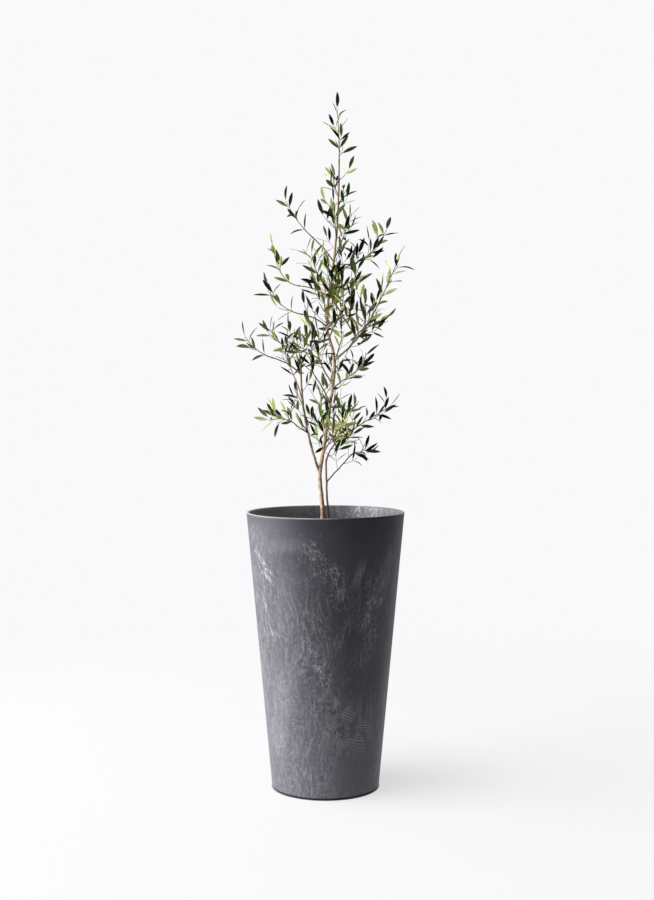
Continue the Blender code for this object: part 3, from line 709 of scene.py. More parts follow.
class Mass:
    """One leafy mass: a stem, its side twigs, and leaves in opposite pairs along both."""

    def __init__(self, tree, shoot):
        self.tree = tree
        self.shoot = shoot
        self.chance = random.Random(shoot.seed)
        self.dealer = random.Random(shoot.seed + DEALER_SEED)
        self.leaves, self.lines, self.twigs = [], [], []
        path = tree.paths[shoot.name]
        self.nodes = self.set_leaves(path, STEM_FIRST_LEAF)
        for k in range(shoot.twigs):
            share = between(*TWIG_SPAN, (k + 0.5) / shoot.twigs)
            self.add_twig(path, share, math.pi * k + self.chance.uniform(-TWIG_SCATTER, TWIG_SCATTER))

    def add_twig(self, path, share, turn):
        """A side twig, skipped where it would leave the mass's space."""
        length = self.shoot.twig_length * between(*TWIG_TAPER, share)
        length *= self.chance.uniform(*TWIG_LENGTH_SPREAD)
        pose = *along(path, share), turn, TWIG_ANGLE, length
        twig = twig_path(*pose, TWIG_RINGS)
        if self.tree.is_free(twig[1:], self.shoot.name, TWIG_RADII[0]):
            nodes = self.set_leaves(twig, TWIG_FIRST_LEAF)
            self.twigs.append((twig_path(*pose, TWIG_POINTS), TWIG_RADII, nodes))

    def set_leaves(self, path, first):
        """Leaves from a share of the path to its end, each skipped where it would touch another or leave the
        mass's space. Returns the shares at which the pairs sit."""
        length = distances(path)[-1]
        kind = deal_kind(self.dealer, self.shoot.name)
        nodes = set()
        for share, half, turn, angle in leaf_places(self.chance, length, self.shoot.spacing, first):
            nodes.add(share)
            angle *= self.chance.uniform(*LEAF_ANGLE_SPREAD)
            size = self.chance.uniform(*LEAF_LENGTH)
            place = share - half * LEAF_STAGGER / length
            leaf, line, half_widths = leaf_on(path, place, turn, angle, size, self.shoot.name, kind)
            if self.tree.is_free(line, self.shoot.name, half_widths):
                if all(distance_to_path(line, other).min() >= LEAF_APART for other in self.lines):
                    self.lines.append(line)
                    self.leaves.append(leaf)
        return sorted(nodes - {TIP_LEAF})


class Sprays:
    """The finer growth: small leafy twigs along limbs and stems, where the masses leave room."""

    def __init__(self, tree, masses):
        self.tree = tree
        self.taken = np.concatenate([line for mass in masses for line in mass.lines])
        self.leaves, self.twigs = [], []
        for spray in SPRAYS:
            self.chance = random.Random(spray.seed)
            self.add_spray(spray)

    def add_spray(self, spray):
        """The spray's twigs, each turned on from the last by the same angle."""
        path = self.tree.paths[spray.carrier]
        first_turn = self.chance.uniform(0.0, 2 * math.pi)
        for k in range(spray.count):
            share = between(spray.first, spray.last, (k + self.chance.uniform(*SPRAY_PLACES)) / spray.count)
            turn = first_turn + k * SPRAY_TURN + self.chance.uniform(-LEAF_SCATTER, LEAF_SCATTER)
            length = spray.length * self.chance.uniform(*SPRAY_LENGTH_SPREAD)
            angle = TWIG_ANGLE * self.chance.uniform(*SPRAY_ANGLE_SPREAD)
            twig = twig_path(*along(path, share), turn, angle, length, TWIG_POINTS)
            self.add_twig(twig, length, spray.carrier)

    def add_twig(self, path, length, carrier):
        """A twig and its leaves, kept where it has room and bears a leaf."""
        kind = deal_kind(self.chance, carrier)
        places = list(leaf_places(self.chance, length, SPRAY_LEAF_SPACING, SPRAY_FIRST_LEAF))
        if not self.has_room(path[SPRAY_CLEAR_FROM:], SPRAY_TWIG_RADII[0]):
            return
        nodes = set()
        for share, _, turn, angle in places:
            size = self.chance.uniform(*SPRAY_LEAF_LENGTH)
            angle *= self.chance.uniform(*LEAF_ANGLE_SPREAD)
            leaf, line, half_widths = leaf_on(path, share, turn, angle, size, carrier, kind)
            if self.has_room(line, half_widths / 2):
                self.taken = np.concatenate([self.taken, line])
                self.leaves.append(leaf)
                nodes.add(share)
        if nodes:
            self.twigs.append((path, SPRAY_TWIG_RADII, sorted(nodes)))

    def has_room(self, points, half_widths):
        """Whether points of those half widths are near no leaf and touch no limb."""
        away = np.linalg.norm(points[:, None] - self.taken[None], axis=2).min()
        return away >= SPRAY_LEAF_APART and self.tree.is_clear(points, half_widths, SPRAY_SPACE_BETWEEN)


@functools.lru_cache(maxsize=1)
def grown_tree():
    """The tree, its masses and its sprays, grown once for all the operators."""
    tree = Tree()
    masses = [Mass(tree, shoot) for shoot in SHOOTS]
    return tree, masses, Sprays(tree, masses)


def placed(name, data):
    """A new object in the scene."""
    item = bpy.data.objects.new(name, data)
    bpy.context.scene.collection.objects.link(item)
    return item


def mesh_object(name, finishes, points, quads, triangles, kinds=None, body=BODY):
    """A smooth-shaded mesh object from arrays of points, four-sided faces and triangles, riding on a body."""
    mesh = bpy.data.meshes.new(name)
    mesh.from_pydata(points.tolist(), [], [*quads.tolist(), *triangles.tolist()])
    mesh.shade_smooth()
    for finish in finishes:
        mesh.materials.append(finish)
    if kinds is not None:
        mesh.polygons.foreach_set("material_index", kinds.astype(np.int32))
    item = placed(name, mesh)
    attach(item, body)
    return item


def store(item, name, values):
    """Keeps one number for each point of the mesh, for its material to read."""
    layer = item.data.attributes.new(name, "FLOAT", "POINT")
    layer.data.foreach_set("value", np.asarray(values, np.float32))


def ring_faces(rings, sides):
    """The faces of a closed tube whose points are a first pole, rings one after another and a last pole."""
    k = np.arange(sides)
    after = (k + 1) % sides
    rows = 1 + np.arange(rings - 1)[:, None] * sides
    quads = np.stack([rows + k, rows + after, rows + sides + after, rows + sides + k], axis=-1)
    top = 1 + (rings - 1) * sides
    first_fan = np.column_stack([0 * k, 1 + after, 1 + k])
    last_fan = np.column_stack([top + k, top + after, 0 * k + top + sides])
    return quads.reshape(-1, 4), np.concatenate([first_fan, last_fan])


def turned(profile, sides):
    """A profile of (radius, height) points from pole to pole, turned round +Z into a closed surface."""
    rings = profile[1:-1]
    x = rings[:, :1] * np.cos(turns(sides))
    y = rings[:, :1] * np.sin(turns(sides))
    sleeve = np.stack([x, y, np.repeat(rings[:, 1:], sides, axis=1)], axis=-1).reshape(-1, 3)
    poles = np.array([(0.0, 0.0, profile[0][1]), (0.0, 0.0, profile[-1][1])])
    return np.concatenate([poles[:1], sleeve, poles[1:]]), *ring_faces(len(rings), sides)


def tube(path, radii, sides, reference):
    """A tube's points: the path's point plus the radius times cos and sin of the turn along two directions
    square to the heading, one of them square to the reference too. Radii are by ring, or by ring and turn."""
    headings = unit(np.gradient(path, axis=0))[:, None]
    across = unit(np.cross(headings, reference))
    spokes = swung(across, np.cross(headings, across), turns(sides)[:, None])
    rings = path[:, None] + spokes * radii.reshape(len(path), -1, 1)
    return np.concatenate([path[:1], rings.reshape(-1, 3), path[-1:]])


def swing_of(path):
    """A direction that no heading of a plane curve comes near: its plane's normal, or an odd one."""
    first, last = along(path, 0.0)[1], along(path, 1.0)[1]
    normal = np.cross(first, last)
    return unit(np.cross(first, ODD_DIRECTION) if np.linalg.norm(normal) < STRAIGHT else normal)


def joined(parts):
    """Meshes given as (points, quads, triangles) put one after another, with their indices moved on."""
    points, *kinds = zip(*parts)
    bases = np.cumsum([0] + [len(part) for part in points[:-1]])
    moved = [np.concatenate([faces + base for faces, base in zip(kind, bases)]) for kind in kinds]
    return np.concatenate(points), *moved


def bark_relief(places, radii, sides, seed):
    """A limb's radius over distance along it and turn round it: swellings at the old leaf joints, each a bell
    over distance and widest on two opposite sides; ridges, cosines of the turn whose phase wanders; and
    pores, each a bell over distance and arc."""
    chance = np.random.default_rng(seed)
    turn = turns(sides)
    joints = np.arange(BARK_JOINT_SPACING / 2, places[-1], BARK_JOINT_SPACING)
    joints += chance.uniform(-BARK_JOINT_SCATTER, BARK_JOINT_SCATTER, len(joints)) * BARK_JOINT_SPACING
    joint_turns = chance.uniform(0, math.pi) + np.arange(len(joints)) * math.pi / 2
    bells = bell(places[:, None] - joints, BARK_JOINT_WIDTH)
    mean, swing = BARK_JOINT_ROUND
    relief = 1 + BARK_JOINT_SWELL * bells @ (mean + swing * np.cos(2 * (turn - joint_turns[:, None])))
    for folds, height, wander in BARK_RIDGES:
        start = chance.uniform(0, 2 * math.pi)
        phase = start + np.sin(places / wander * 2 * math.pi + chance.uniform(*PHASES))
        relief += height * np.cos(folds * turn + phase[:, None])
    count = round(BARK_PORES_PER_M * places[-1])
    pore_places = chance.uniform(0, places[-1], count)
    pore_turns = chance.uniform(0, 2 * math.pi, count)[:, None]
    arc = ((turn - pore_turns + math.pi) % (2 * math.pi) - math.pi) * np.mean(radii)
    pores = bell(places[:, None] - pore_places, BARK_PORE_SIZE[1]) @ bell(arc, BARK_PORE_SIZE[0])
    return radii[:, None] * relief + BARK_PORE_HEIGHT * pores


def sway(path, places, seed):
    """The path moved a little off its curve: two slow sines across it that vanish at both ends."""
    phases = np.random.default_rng(seed).uniform(*PHASES), BARK_SWAY_PHASE
    across = unit(np.cross(unit(np.gradient(path, axis=0)), ODD_DIRECTION))
    waves = 0.0
    for length, turn, phase in zip(BARK_SWAY_LENGTHS, BARK_SWAY_TURNS, phases):
        waves = waves + np.sin(places / length * turn + phase)
    return path + across * (BARK_SWAY * waves * np.sin(math.pi * places / places[-1]))[:, None]


def bark_limb(finish, tree, name, seed):
    """One limb with its relief. The trunk's foot also has the lobes of its roots' flare."""
    path, radii = tree.grown_line(name, BARK_RING_SPACING)
    places = distances(path)
    if name == "trunk":
        sides, reference = BARK_TRUNK_SIDES, np.array([0.0, 1.0, 0.0])
        flare = TRUNK_FLARE_LOBES * np.exp(-places / TRUNK_FLARE_HEIGHT)[:, None]
        lobes = 1 + flare * np.cos(TRUNK_LOBES * turns(sides) + TRUNK_LOBE_TURN)
    else:
        sides, reference, lobes = BARK_LIMB_SIDES, swing_of(path), 1
    relief = bark_relief(places, radii, sides, seed) * lobes
    points = tube(sway(path, places, seed), relief, sides, reference)
    item = mesh_object(f"{name}_bark", [finish], points, *ring_faces(len(path), sides))
    thinness = np.clip((THIN_RADII[1] - radii) / (THIN_RADII[1] - THIN_RADII[0]), 0.0, 1.0)
    store(item, "thinness", np.concatenate([thinness[:1], np.repeat(thinness, sides), thinness[-1:]]))
    return item


def twig_part(path, radii, nodes, sides):
    """A twig as (points, quads, triangles): its radius swells by a bell at each of the nodes' shares."""
    places = distances(path)
    at = np.array(nodes or [0.0]) * places[-1]
    swell = 1 + NODE_SWELL * bell(places[:, None] - at, NODE_WIDTH).sum(1).clip(0.0, 1.0)
    return tube(path, radii * swell, sides, swing_of(path)), *ring_faces(len(path), sides)


def leaf_outline(station):
    """Half the leaf's width as a share of its greatest: a stalk, then a lance shape that ends in a point."""
    t = np.clip((station - LEAF_STALK) / (1 - LEAF_STALK), 0.0, 1.0)
    lance = np.sin(math.pi * t ** LEAF_LANCE_POWERS[0]) ** LEAF_LANCE_POWERS[1]
    return np.maximum(lance, LEAF_STALK_WIDTH * (station < LEAF_STALK_END))


def leaf_surfaces(leaves, seed):
    """The points of all leaves at once. A leaf's midrib turns evenly from its heading away from its upper
    side, its width is the outline's, its halves fold up from the midrib, and the blade is rolled by chance
    and twists as it goes. Of the columns round it the first five are the upper side, the rest the lower."""
    chance = np.random.default_rng(seed)
    count = len(leaves)
    root, out, face, length = (np.array(list(column)).reshape(count, 1, -1) for column in [*zip(*leaves)][2:])
    roll = chance.normal(0.0, LEAF_ROLL, (count, 1, 1))
    spreads = LEAF_ARCH, LEAF_FOLD, LEAF_TWIST, LEAF_WIDTH_SPREAD
    arch, fold, twist, width = (chance.uniform(*spread, (count, 1, 1)) for spread in spreads)
    arch = np.where(np.abs(arch) < LEAF_LEAST_ARCH, LEAF_LEAST_ARCH, arch)
    width *= length * LEAF_WIDTH_SHARE / 2
    level = unit(np.cross(out, face))
    side = swung(level, np.cross(out, level), roll)
    face = np.cross(side, out)
    station = np.array([0.0, *LEAF_STATIONS, 1.0])[None, :, None]
    angle = arch * station
    middle = root + length * (out * np.sin(angle) - face * (1 - np.cos(angle))) / arch
    upper = swung(face, out, angle)
    across = swung(side, upper, twist * station)
    upper = swung(upper, side, -twist * station)
    half = (width * leaf_outline(station))[..., None]
    column = LEAF_COLUMNS[:, None]
    facing = np.where(np.arange(len(column)) > LEAF_TOP_FACES, -1.0, 1.0)[:, None]
    raised = facing * LEAF_THICKNESS / 2 * (1 - column**2) + half * fold[..., None] * np.abs(column)
    rings = middle[:, :, None] + across[:, :, None] * half * column + upper[:, :, None] * raised
    points = np.concatenate([root, rings[:, 1:-1].reshape(count, -1, 3), middle[:, -1:]], axis=1)
    return points.reshape(-1, 3)


def leaf_faces(count):
    """The faces of that many leaves, and each face's material: 0 for the upper side and 1 for the lower."""
    sides, rings = len(LEAF_COLUMNS), len(LEAF_STATIONS)
    step = (2 + rings * sides) * np.arange(count)[:, None, None]
    quads, triangles = ring_faces(rings, sides)
    kinds = np.tile(np.arange(sides) >= LEAF_TOP_FACES, (rings + 1) * count)
    return (quads + step).reshape(-1, 4), (triangles + step).reshape(-1, 3), kinds


def outer_radius(height):
    """The planter's outer radius at a height."""
    return between(POT_FOOT_RADIUS, POT_TOP_RADIUS, height / POT_HEIGHT)


def wall_line(heights, inset):
    """Points of a profile that run at those heights that far inside the planter's outer side."""
    return np.column_stack([outer_radius(heights) - inset, heights])


def arc(centre_radius, centre_height, radius, start, end):
    """Points of a round stretch of a profile, from one angle in degrees to another."""
    angles = np.radians(np.linspace(start, end, POT_ROUND_STEPS + 1))
    return np.column_stack([centre_radius + radius * np.cos(angles), centre_height + radius * np.sin(angles)])


def pot_profile(wall):
    """The planter's profile of (radius, height): recessed underside, foot, side, round rim, inside, floor."""
    foot, rim, deep = POT_FOOT_ROUND, POT_RIM_ROUND, POT_RECESS_DEPTH
    under_rim = POT_HEIGHT - rim
    return np.concatenate(
        [
            [(0.0, deep), (POT_RECESS_RADIUS - deep, deep), (POT_RECESS_RADIUS, 0.0)],
            arc(outer_radius(foot) - foot, foot, foot, -90, 0),
            wall_line(np.linspace(foot, under_rim, POT_SIDE_ROWS)[1:-1], 0.0),
            arc(POT_TOP_RADIUS - rim, under_rim, rim, 0, 90),
            arc(POT_TOP_RADIUS - wall + rim, under_rim, rim, 90, 180),
            wall_line(np.linspace(under_rim, POT_FLOOR, POT_INNER_ROWS)[1:], wall),
            [(0.0, POT_FLOOR)],
        ]
    )


def soil_height(x, y):
    """The soil's top at a place: level round the trunk, a little lower at the wall, plus seeded waves."""
    chance = np.random.default_rng(SOIL_SEED)
    share = (np.hypot(x, y) - SOIL_CROWN_RADIUS) / (soil_high.x - SOIL_CROWN_RADIUS)
    lengths = np.geomspace(*SOIL_WAVE_LENGTHS, SOIL_WAVES)
    heights = lengths**SOIL_WAVE_POWER
    waves = 0.0
    for length, height in zip(lengths, heights):
        bearing, phase = chance.uniform(0, 2 * math.pi, 2)
        waves = waves + height * np.sin(2 * math.pi * swung(x, y, bearing) / length + phase)
    return soil_high.z - SOIL_EDGE_DROP * np.clip(share, 0.0, 1.0) + SOIL_WAVE_HEIGHT * waves / heights.sum()


def soil_bed(finish):
    """The bed: a profile turned round +Z, whose top rows are then set to the soil's height."""
    floor, edge = soil_low.z, soil_high.z - SOIL_EDGE_DROP
    wall = wall_line(np.linspace(floor, edge, SOIL_WALL_ROWS), POT_WALL + 2 * GAP)
    top_radii = np.linspace(wall[-1, 0], 0.0, SOIL_TOP_ROWS + 1)[1:]
    top = np.column_stack([top_radii, np.full(SOIL_TOP_ROWS, edge)])
    points, quads, triangles = turned(np.concatenate([[(0.0, floor)], wall, top]), SOIL_SIDES)
    on_top = slice(1 + (SOIL_WALL_ROWS - 1) * SOIL_SIDES, None)
    points[on_top, 2] = soil_height(points[on_top, 0], points[on_top, 1])
    return mesh_object("soil_bed", [finish], points, quads, triangles)


def soil_crumbs(finish):
    """Loose crumbs on the soil: balls of twenty faces with corners moved in and out, scattered evenly."""
    chance = np.random.default_rng(CRUMB_SEED)
    ball = bmesh.new()
    bmesh.ops.create_icosphere(ball, subdivisions=1, radius=1.0)
    corners = np.array([vertex.co[:] for vertex in ball.verts])
    faces = np.array([[vertex.index for vertex in face.verts] for face in ball.faces])
    ball.free()
    reach = (soil_high.x - CRUMB_MARGIN) * np.sqrt(chance.uniform(CRUMB_NEAREST, 1.0, CRUMB_COUNT))
    turn = chance.uniform(0, 2 * math.pi, CRUMB_COUNT)
    x, y = reach * np.cos(turn), reach * np.sin(turn)
    size = between(*CRUMB_SIZES, chance.uniform(0, 1, CRUMB_COUNT) ** 3)
    place = np.column_stack([x, y, soil_height(x, y) + CRUMB_LIFT * size])
    lumps = chance.uniform(*CRUMB_LUMPS, (CRUMB_COUNT, len(corners), 1))
    flat = chance.uniform(*CRUMB_FLATNESS, (CRUMB_COUNT, 1, 3))
    points = place[:, None] + corners * lumps * flat * size[:, None, None]
    triangles = faces + len(corners) * np.arange(CRUMB_COUNT)[:, None, None]
    return mesh_object("soil_crumbs", [finish], points.reshape(-1, 3), faces[:0], triangles.reshape(-1, 3))


class Value:
    """A node's output in an expression. Arithmetic on it adds Math nodes."""

    def __init__(self, graph, socket):
        self.graph = graph
        self.socket = socket

    def do(self, operation, *others):
        """A Math node of that operation on this value and the others."""
        return self.graph.math(operation, self, *others)

    def __rsub__(self, other):
        return self.graph.math("SUBTRACT", other, self)

    __add__ = __radd__ = functools.partialmethod(do, "ADD")
    __sub__ = functools.partialmethod(do, "SUBTRACT")
    __mul__ = __rmul__ = functools.partialmethod(do, "MULTIPLY")
    __truediv__ = functools.partialmethod(do, "DIVIDE")
    __pow__ = functools.partialmethod(do, "POWER")


def slanted(sideways, upwards, lean):
    """How far a place lies along a line that leans by so many degrees from the level, and how far above."""
    slant = math.radians(lean)
    return swung(sideways, upwards, slant), swung(upwards, sideways, -slant)


class Graph:
    """The shader tree of a new material or world: one method makes any node, others name frequent ones."""

    def __init__(self, owner):
        owner.use_nodes = True
        self.owner = owner
        self.tree = owner.node_tree
        self.tree.nodes.clear()

    def node(self, kind, inputs=(), output=0, **settings):
        """A node of that kind with those settings. Its inputs are values or links, by name or in their order.
        Returns the output of that number as a Value, or the node itself where it has none."""
        made = self.tree.nodes.new(kind)
        for name, setting in settings.items():
            setattr(made, name, setting)
        for key, given in inputs.items() if isinstance(inputs, dict) else enumerate(inputs):
            if isinstance(given, Value):
                self.tree.links.new(given.socket, made.inputs[key])
            else:
                made.inputs[key].default_value = given
        return Value(self, made.outputs[output]) if len(made.outputs) else made

    def show(self, shader, kind="ShaderNodeOutputMaterial"):
        """Puts a shader on the output, or a Principled one with those inputs, and returns the owner."""
        if isinstance(shader, dict):
            shader = self.node("ShaderNodeBsdfPrincipled", shader)
        self.node(kind, (shader,))
        return self.owner

    def math(self, operation, *numbers):
        """A Math node of that operation."""
        return self.node("ShaderNodeMath", numbers, operation=operation)

    def vector(self, operation, first, second):
        """A Vector Math node of that operation."""
        return self.node("ShaderNodeVectorMath", (first, second), operation=operation)

    def position(self):
        """The point on the object."""
        return self.node("ShaderNodeTexCoord", output=OBJECT_OUTPUT)

    def scaled(self, place, *scale):
        """The place scaled along each axis."""
        return self.vector("MULTIPLY", place, scale)

    def axes(self, vector):
        """The three numbers of a vector."""
        split = self.node("ShaderNodeSeparateXYZ", (vector,))
        return [Value(self, split.socket.node.outputs[axis]) for axis in range(3)]

    def noise(self, place, scale, detail=2.0, roughness=0.5, output=0, distortion=0.0):
        """Smooth noise from 0 to 1 with that many waves a metre. Output 1 is three of them as a vector."""
        inputs = {"Vector": place, "Scale": scale, "Detail": detail, "Roughness": roughness}
        return self.node("ShaderNodeTexNoise", {**inputs, "Distortion": distortion}, output)

    def step(self, value, low, high):
        """0 below low, 1 above high, and a smooth rise between."""
        inputs = {"Value": value, "From Min": low, "From Max": high}
        return self.node("ShaderNodeMapRange", inputs, interpolation_type="SMOOTHSTEP")

    def ridge(self, value, width):
        """1 where the value is a whole number, falling to 0 within `width` of it."""
        return 1.0 - self.step(self.math("PINGPONG", value, 0.5), 0.0, width)

    def shifted(self, place, scale, *reach):
        """The place moved by a smooth noise of that scale, by up to half of `reach` each way."""
        wander = self.vector("SUBTRACT", self.noise(place, scale, output=1), (0.5, 0.5, 0.5))
        return self.vector("ADD", place, self.vector("MULTIPLY", wander, reach))

    def marks(self, table, bearing, height, crinkle=0.0):
        """How strongly the marks of a table show at a bearing and height on the planter's wall. A mark falls
        off smoothly along it and across it, and `crinkle` metres push it off its line."""
        total = 0.0
        for mark in table:
            sideways = (bearing - math.radians(mark.bearing)) * outer_radius(mark.height)
            run, off = slanted(sideways, height - mark.height, mark.lean)
            run = run / mark.length
            off = (off - mark.bow * run**2 + crinkle) / mark.width
            taper = 1.0 - self.step(run.do("ABSOLUTE"), *MARK_TAPER)
            total = total + mark.strength * taper * (1.0 - self.step(off.do("ABSOLUTE"), *MARK_EDGE))
        return total

    def threads(self, place, lean):
        """Pale threads drawn out at that lean on the planter's wall: contour lines of a stretched noise."""
        across, depth, height = self.axes(place)
        run, off = slanted(across.do("ARCTAN2", depth * -1.0) * POT_MEAN_RADIUS, height, lean)
        stretched = self.node("ShaderNodeCombineXYZ", (THREAD_STRETCH * run, off))
        return self.ridge(self.noise(stretched, THREAD_SCALE, 3.0, 0.6) * 4.0, 0.24)

    def blend(self, factor, first, second):
        """The first colour where the factor is 0 and the second where it is 1."""
        colours = [one if isinstance(one, Value) else (*one, 1.0) for one in (first, second)]
        inputs = {0: factor, **dict(zip(MIX_COLOURS, colours))}
        return self.node("ShaderNodeMix", inputs, MIX_RESULT, data_type="RGBA")

    def bump(self, height, distance, strength):
        """A normal from a height between 0 and 1, where 1 is `distance` metres."""
        return self.node("ShaderNodeBump", {"Strength": strength, "Distance": distance, "Height": height})


def planter_finish(settings):
    """Charcoal composite with pale marbling: fine fibres drawn down the wall, scribbled curls that are the
    contour lines of a twisted noise, ripples, flecks and a few bold strokes. Painted light makes the wall
    palest low on its left, and it is plain under the rim. The rim's top carries a painted highlight that
    fades towards the right, the inside is dusty and, on its shaded left, painted paler as painted light,
    and the foot's edge is painted dark as the contact shadow."""
    graph = Graph(bpy.data.materials.new("marbled_charcoal"))
    place = graph.position()
    across, depth, height = graph.axes(place)
    bearing = across.do("ARCTAN2", depth * -1.0)
    inside = graph.step(outer_radius(height) - (across**2 + depth**2) ** 0.5, 0.002, 0.004)
    bent = graph.shifted(place, 5.0, 0.09, 0.09, 0.05)
    curled = graph.shifted(bent, 32.0, 0.028, 0.028, 0.028)
    clouds = graph.noise(bent, CLOUD_SCALE, 3.0, 0.55)
    # Painted light: a mask that is highest low on the left, the window's side, giving a paler tone, more
    # fibres and more mottle there
    painted_left_light = graph.step(0.6 * clouds - 6.0 * across - 3.0 * height, -1.0, 0.48)

    fibres = graph.noise(graph.scaled(bent, 1.0, 1.0, 0.07), FIBRE_SCALE, 4.0, 0.68)
    fibre_patch = graph.step(graph.noise(place, 6.5) + 0.22 * painted_left_light, 0.40, 0.62)
    scribble = graph.noise(graph.scaled(curled, 1.0, 1.0, 0.62), SCRIBBLE_SCALE, 3.0, 0.62)
    curl_noise = graph.noise(place, 14.0, 2.0, 0.6, distortion=0.6)
    curl_patch = graph.step(curl_noise + 0.45 * graph.marks(CURLS, bearing, height), 0.60, 0.80)
    curls = graph.ridge(scribble * 7.0, 0.20) * (0.35 + 0.65 * graph.step(fibres, 0.35, 0.65))
    slope = height - 5.0 * (across - 0.082) ** 2 + 0.020 * graph.noise(bent, 15.0)
    ripples = ((slope * RIPPLE_SCALE).do("SINE") * 0.5 + 0.5) * graph.step(scribble, 0.36, 0.56)
    ripple_patch = graph.step(graph.marks(RIPPLES, bearing, height) + 1.6 * (clouds - 0.5), 0.30, 1.00)
    flecks = graph.step(graph.noise(curled, FLECK_SCALE), 0.60, 0.76)
    mottle = graph.step(graph.noise(curled, MOTTLE_SCALE, 4.0, 0.62), 0.47, 0.66)
    smears = graph.marks(SMEARS, bearing, height, 0.03 * (clouds - 0.5)) * (0.4 + 0.6 * fibres)
    crinkle = 0.010 * (graph.noise(curled, 60.0, 3.0, 0.6) - 0.5)
    drawn = graph.shifted(bent, 60.0, 0.007, 0.007, 0.007)
    broken = 0.35 + 0.65 * graph.step(fibres, 0.38, 0.60)
    strokes = 0.0
    nearest = [min(STROKE_GRAINS, key=lambda grain: abs(grain - mark.lean)) for mark in STROKES]
    for grain in STROKE_GRAINS:
        own = [mark for mark, lean in zip(STROKES, nearest) if lean == grain]
        strokes = strokes + graph.marks(own, bearing, height, crinkle) * graph.threads(drawn, grain) * broken

    marked = 1.0 - graph.step(height + 0.05 * clouds + 0.10 * across, 0.470, 0.505)
    plain = 1.0 - graph.marks(PLAIN, bearing, height, 0.04 * (clouds - 0.5))
    pale = 0.40 * graph.step(fibres, 0.42, 0.76) * fibre_patch + 0.36 * curls * curl_patch
    pale = pale + 0.30 * flecks * curl_patch + (0.05 + 0.26 * painted_left_light) * mottle
    pale = plain * marked * (pale * (1.0 - 0.6 * ripple_patch) + 0.44 * ripples * ripple_patch)
    pale = (pale + strokes + smears).do("MINIMUM", 1.0)
    dark = 0.6 * graph.step(scribble, 0.50, 0.38) * curl_patch * marked
    tone = graph.blend(graph.step(clouds, 0.34, 0.66), settings.dark_colour, settings.mid_colour)
    tone = graph.blend(0.85 * painted_left_light, tone, settings.painted_light_colour)
    tone = graph.blend(dark, tone, POT_CURL_SHADE)
    tone = graph.blend(pale, tone, settings.vein_colour)
    # Pale dust and specks on the inside; the extra paleness on the inside's left, which faces away from the
    # window and lies in shade, is painted light
    dust_and_painted_light = 0.30 + 0.5 * graph.step(fibres, 0.45, 0.75) + 0.9 * flecks + 0.9 * graph.step(across, -0.01, -0.10)
    tone = graph.blend((inside * dust_and_painted_light).do("MINIMUM", 1.0), tone, settings.dust_and_light_colour)
    drips = graph.step((across - 0.074).do("ABSOLUTE"), 0.026, 0.012) * graph.step(height, 0.440, 0.470)
    drips = inside * drips * graph.threads(curled, DRIP_LEAN) * graph.step(scribble, 0.44, 0.56)
    tone = graph.blend(drips, tone, POT_DRIP_COLOUR)
    rim = graph.step(height, POT_HEIGHT - 0.0024, POT_HEIGHT - 0.0008)
    # Painted highlight: the rim's top is paler on the left, where the window's light catches it, and fades
    # out to the right
    painted_highlight = 0.8 * rim * (1.0 - 0.95 * graph.step(across, -0.04, 0.05))
    tone = graph.blend(painted_highlight, tone, settings.rim_highlight_colour)
    # Painted shade: the foot's lowest few millimetres are darkened, and made rough, as the contact shadow
    edge = 1.0 - graph.step(height, 0.0028, 0.0052)
    relief = 0.5 * fibres * fibre_patch + 0.5 * curls * curl_patch + 0.35 * ripples * ripple_patch
    return graph.show({
        "Base Color": graph.blend(edge, tone, POT_CONTACT_SHADE_COLOUR),
        "Roughness": 0.50 + 0.10 * clouds + 0.08 * pale - 0.25 * rim + 0.5 * edge,
        "Specular Tint": POT_SHEEN_COLOUR,
        "Normal": graph.bump(relief * marked, 0.00035, 0.55),
    })


def soil_finish():
    """Dark crumbly soil: brown to near black in two sizes of grain, with rough relief."""
    graph = Graph(bpy.data.materials.new("potting_soil"))
    grain = graph.noise(graph.position(), 420.0, 5.0, 0.65)
    lumps = graph.noise(graph.position(), 90.0, 3.0, 0.55)
    tone = graph.blend(graph.step(lumps, 0.3, 0.7), *SOIL_COLOURS[:2])
    return graph.show({
        "Base Color": graph.blend(graph.step(grain, 0.62, 0.82), tone, SOIL_COLOURS[2]),
        "Roughness": 0.86 + 0.1 * grain,
        "Normal": graph.bump(0.6 * grain + 0.4 * lumps, 0.0012, 0.9),
    })


def bark_finish(name, old, shade, young):
    """Smooth young bark: two tones in streaks along the limb, another where it is thin, and paler pores."""
    graph = Graph(bpy.data.materials.new(name))
    place = graph.position()
    age = graph.node("ShaderNodeAttribute", output=ATTRIBUTE_NUMBER, attribute_name="thinness")
    streaks = graph.noise(graph.scaled(place, 1.0, 1.0, 0.12), 520.0, 4.0, 0.6)
    patches = graph.noise(place, 55.0, 3.0, 0.55)
    pores = graph.step(graph.noise(graph.scaled(place, 1.0, 1.0, 1.6), 900.0, 1.0), 0.66, 0.76)
    tone = graph.blend(graph.step(0.55 * patches + 0.45 * streaks, 0.46, 0.62), old, shade)
    return graph.show({
        "Base Color": graph.blend(0.45 * pores, graph.blend(age, tone, young), PORE_COLOUR),
        "Roughness": 0.62 + 0.2 * streaks,
        "Normal": graph.bump(0.7 * streaks + 0.3 * pores, 0.00025, 0.7),
    })


def leaf_finish(name, colour, paler, roughness, gloss, bump):
    """A leaf's side: its colour, a little paler in a fine mottle, over a faint grain."""
    graph = Graph(bpy.data.materials.new(name))
    mottle = graph.noise(graph.position(), 150.0, 3.0, 0.6)
    light = [between(channel, 1.0, paler) for channel in colour]
    return graph.show({
        "Base Color": graph.blend(graph.step(mottle, 0.35, 0.75), colour, light),
        "Roughness": roughness + 0.12 * mottle,
        "Specular IOR Level": gloss,
        "Specular Tint": LEAF_SHEEN_COLOUR,
        "Normal": graph.bump(graph.noise(graph.position(), 1300.0), 0.00012, bump),
    })


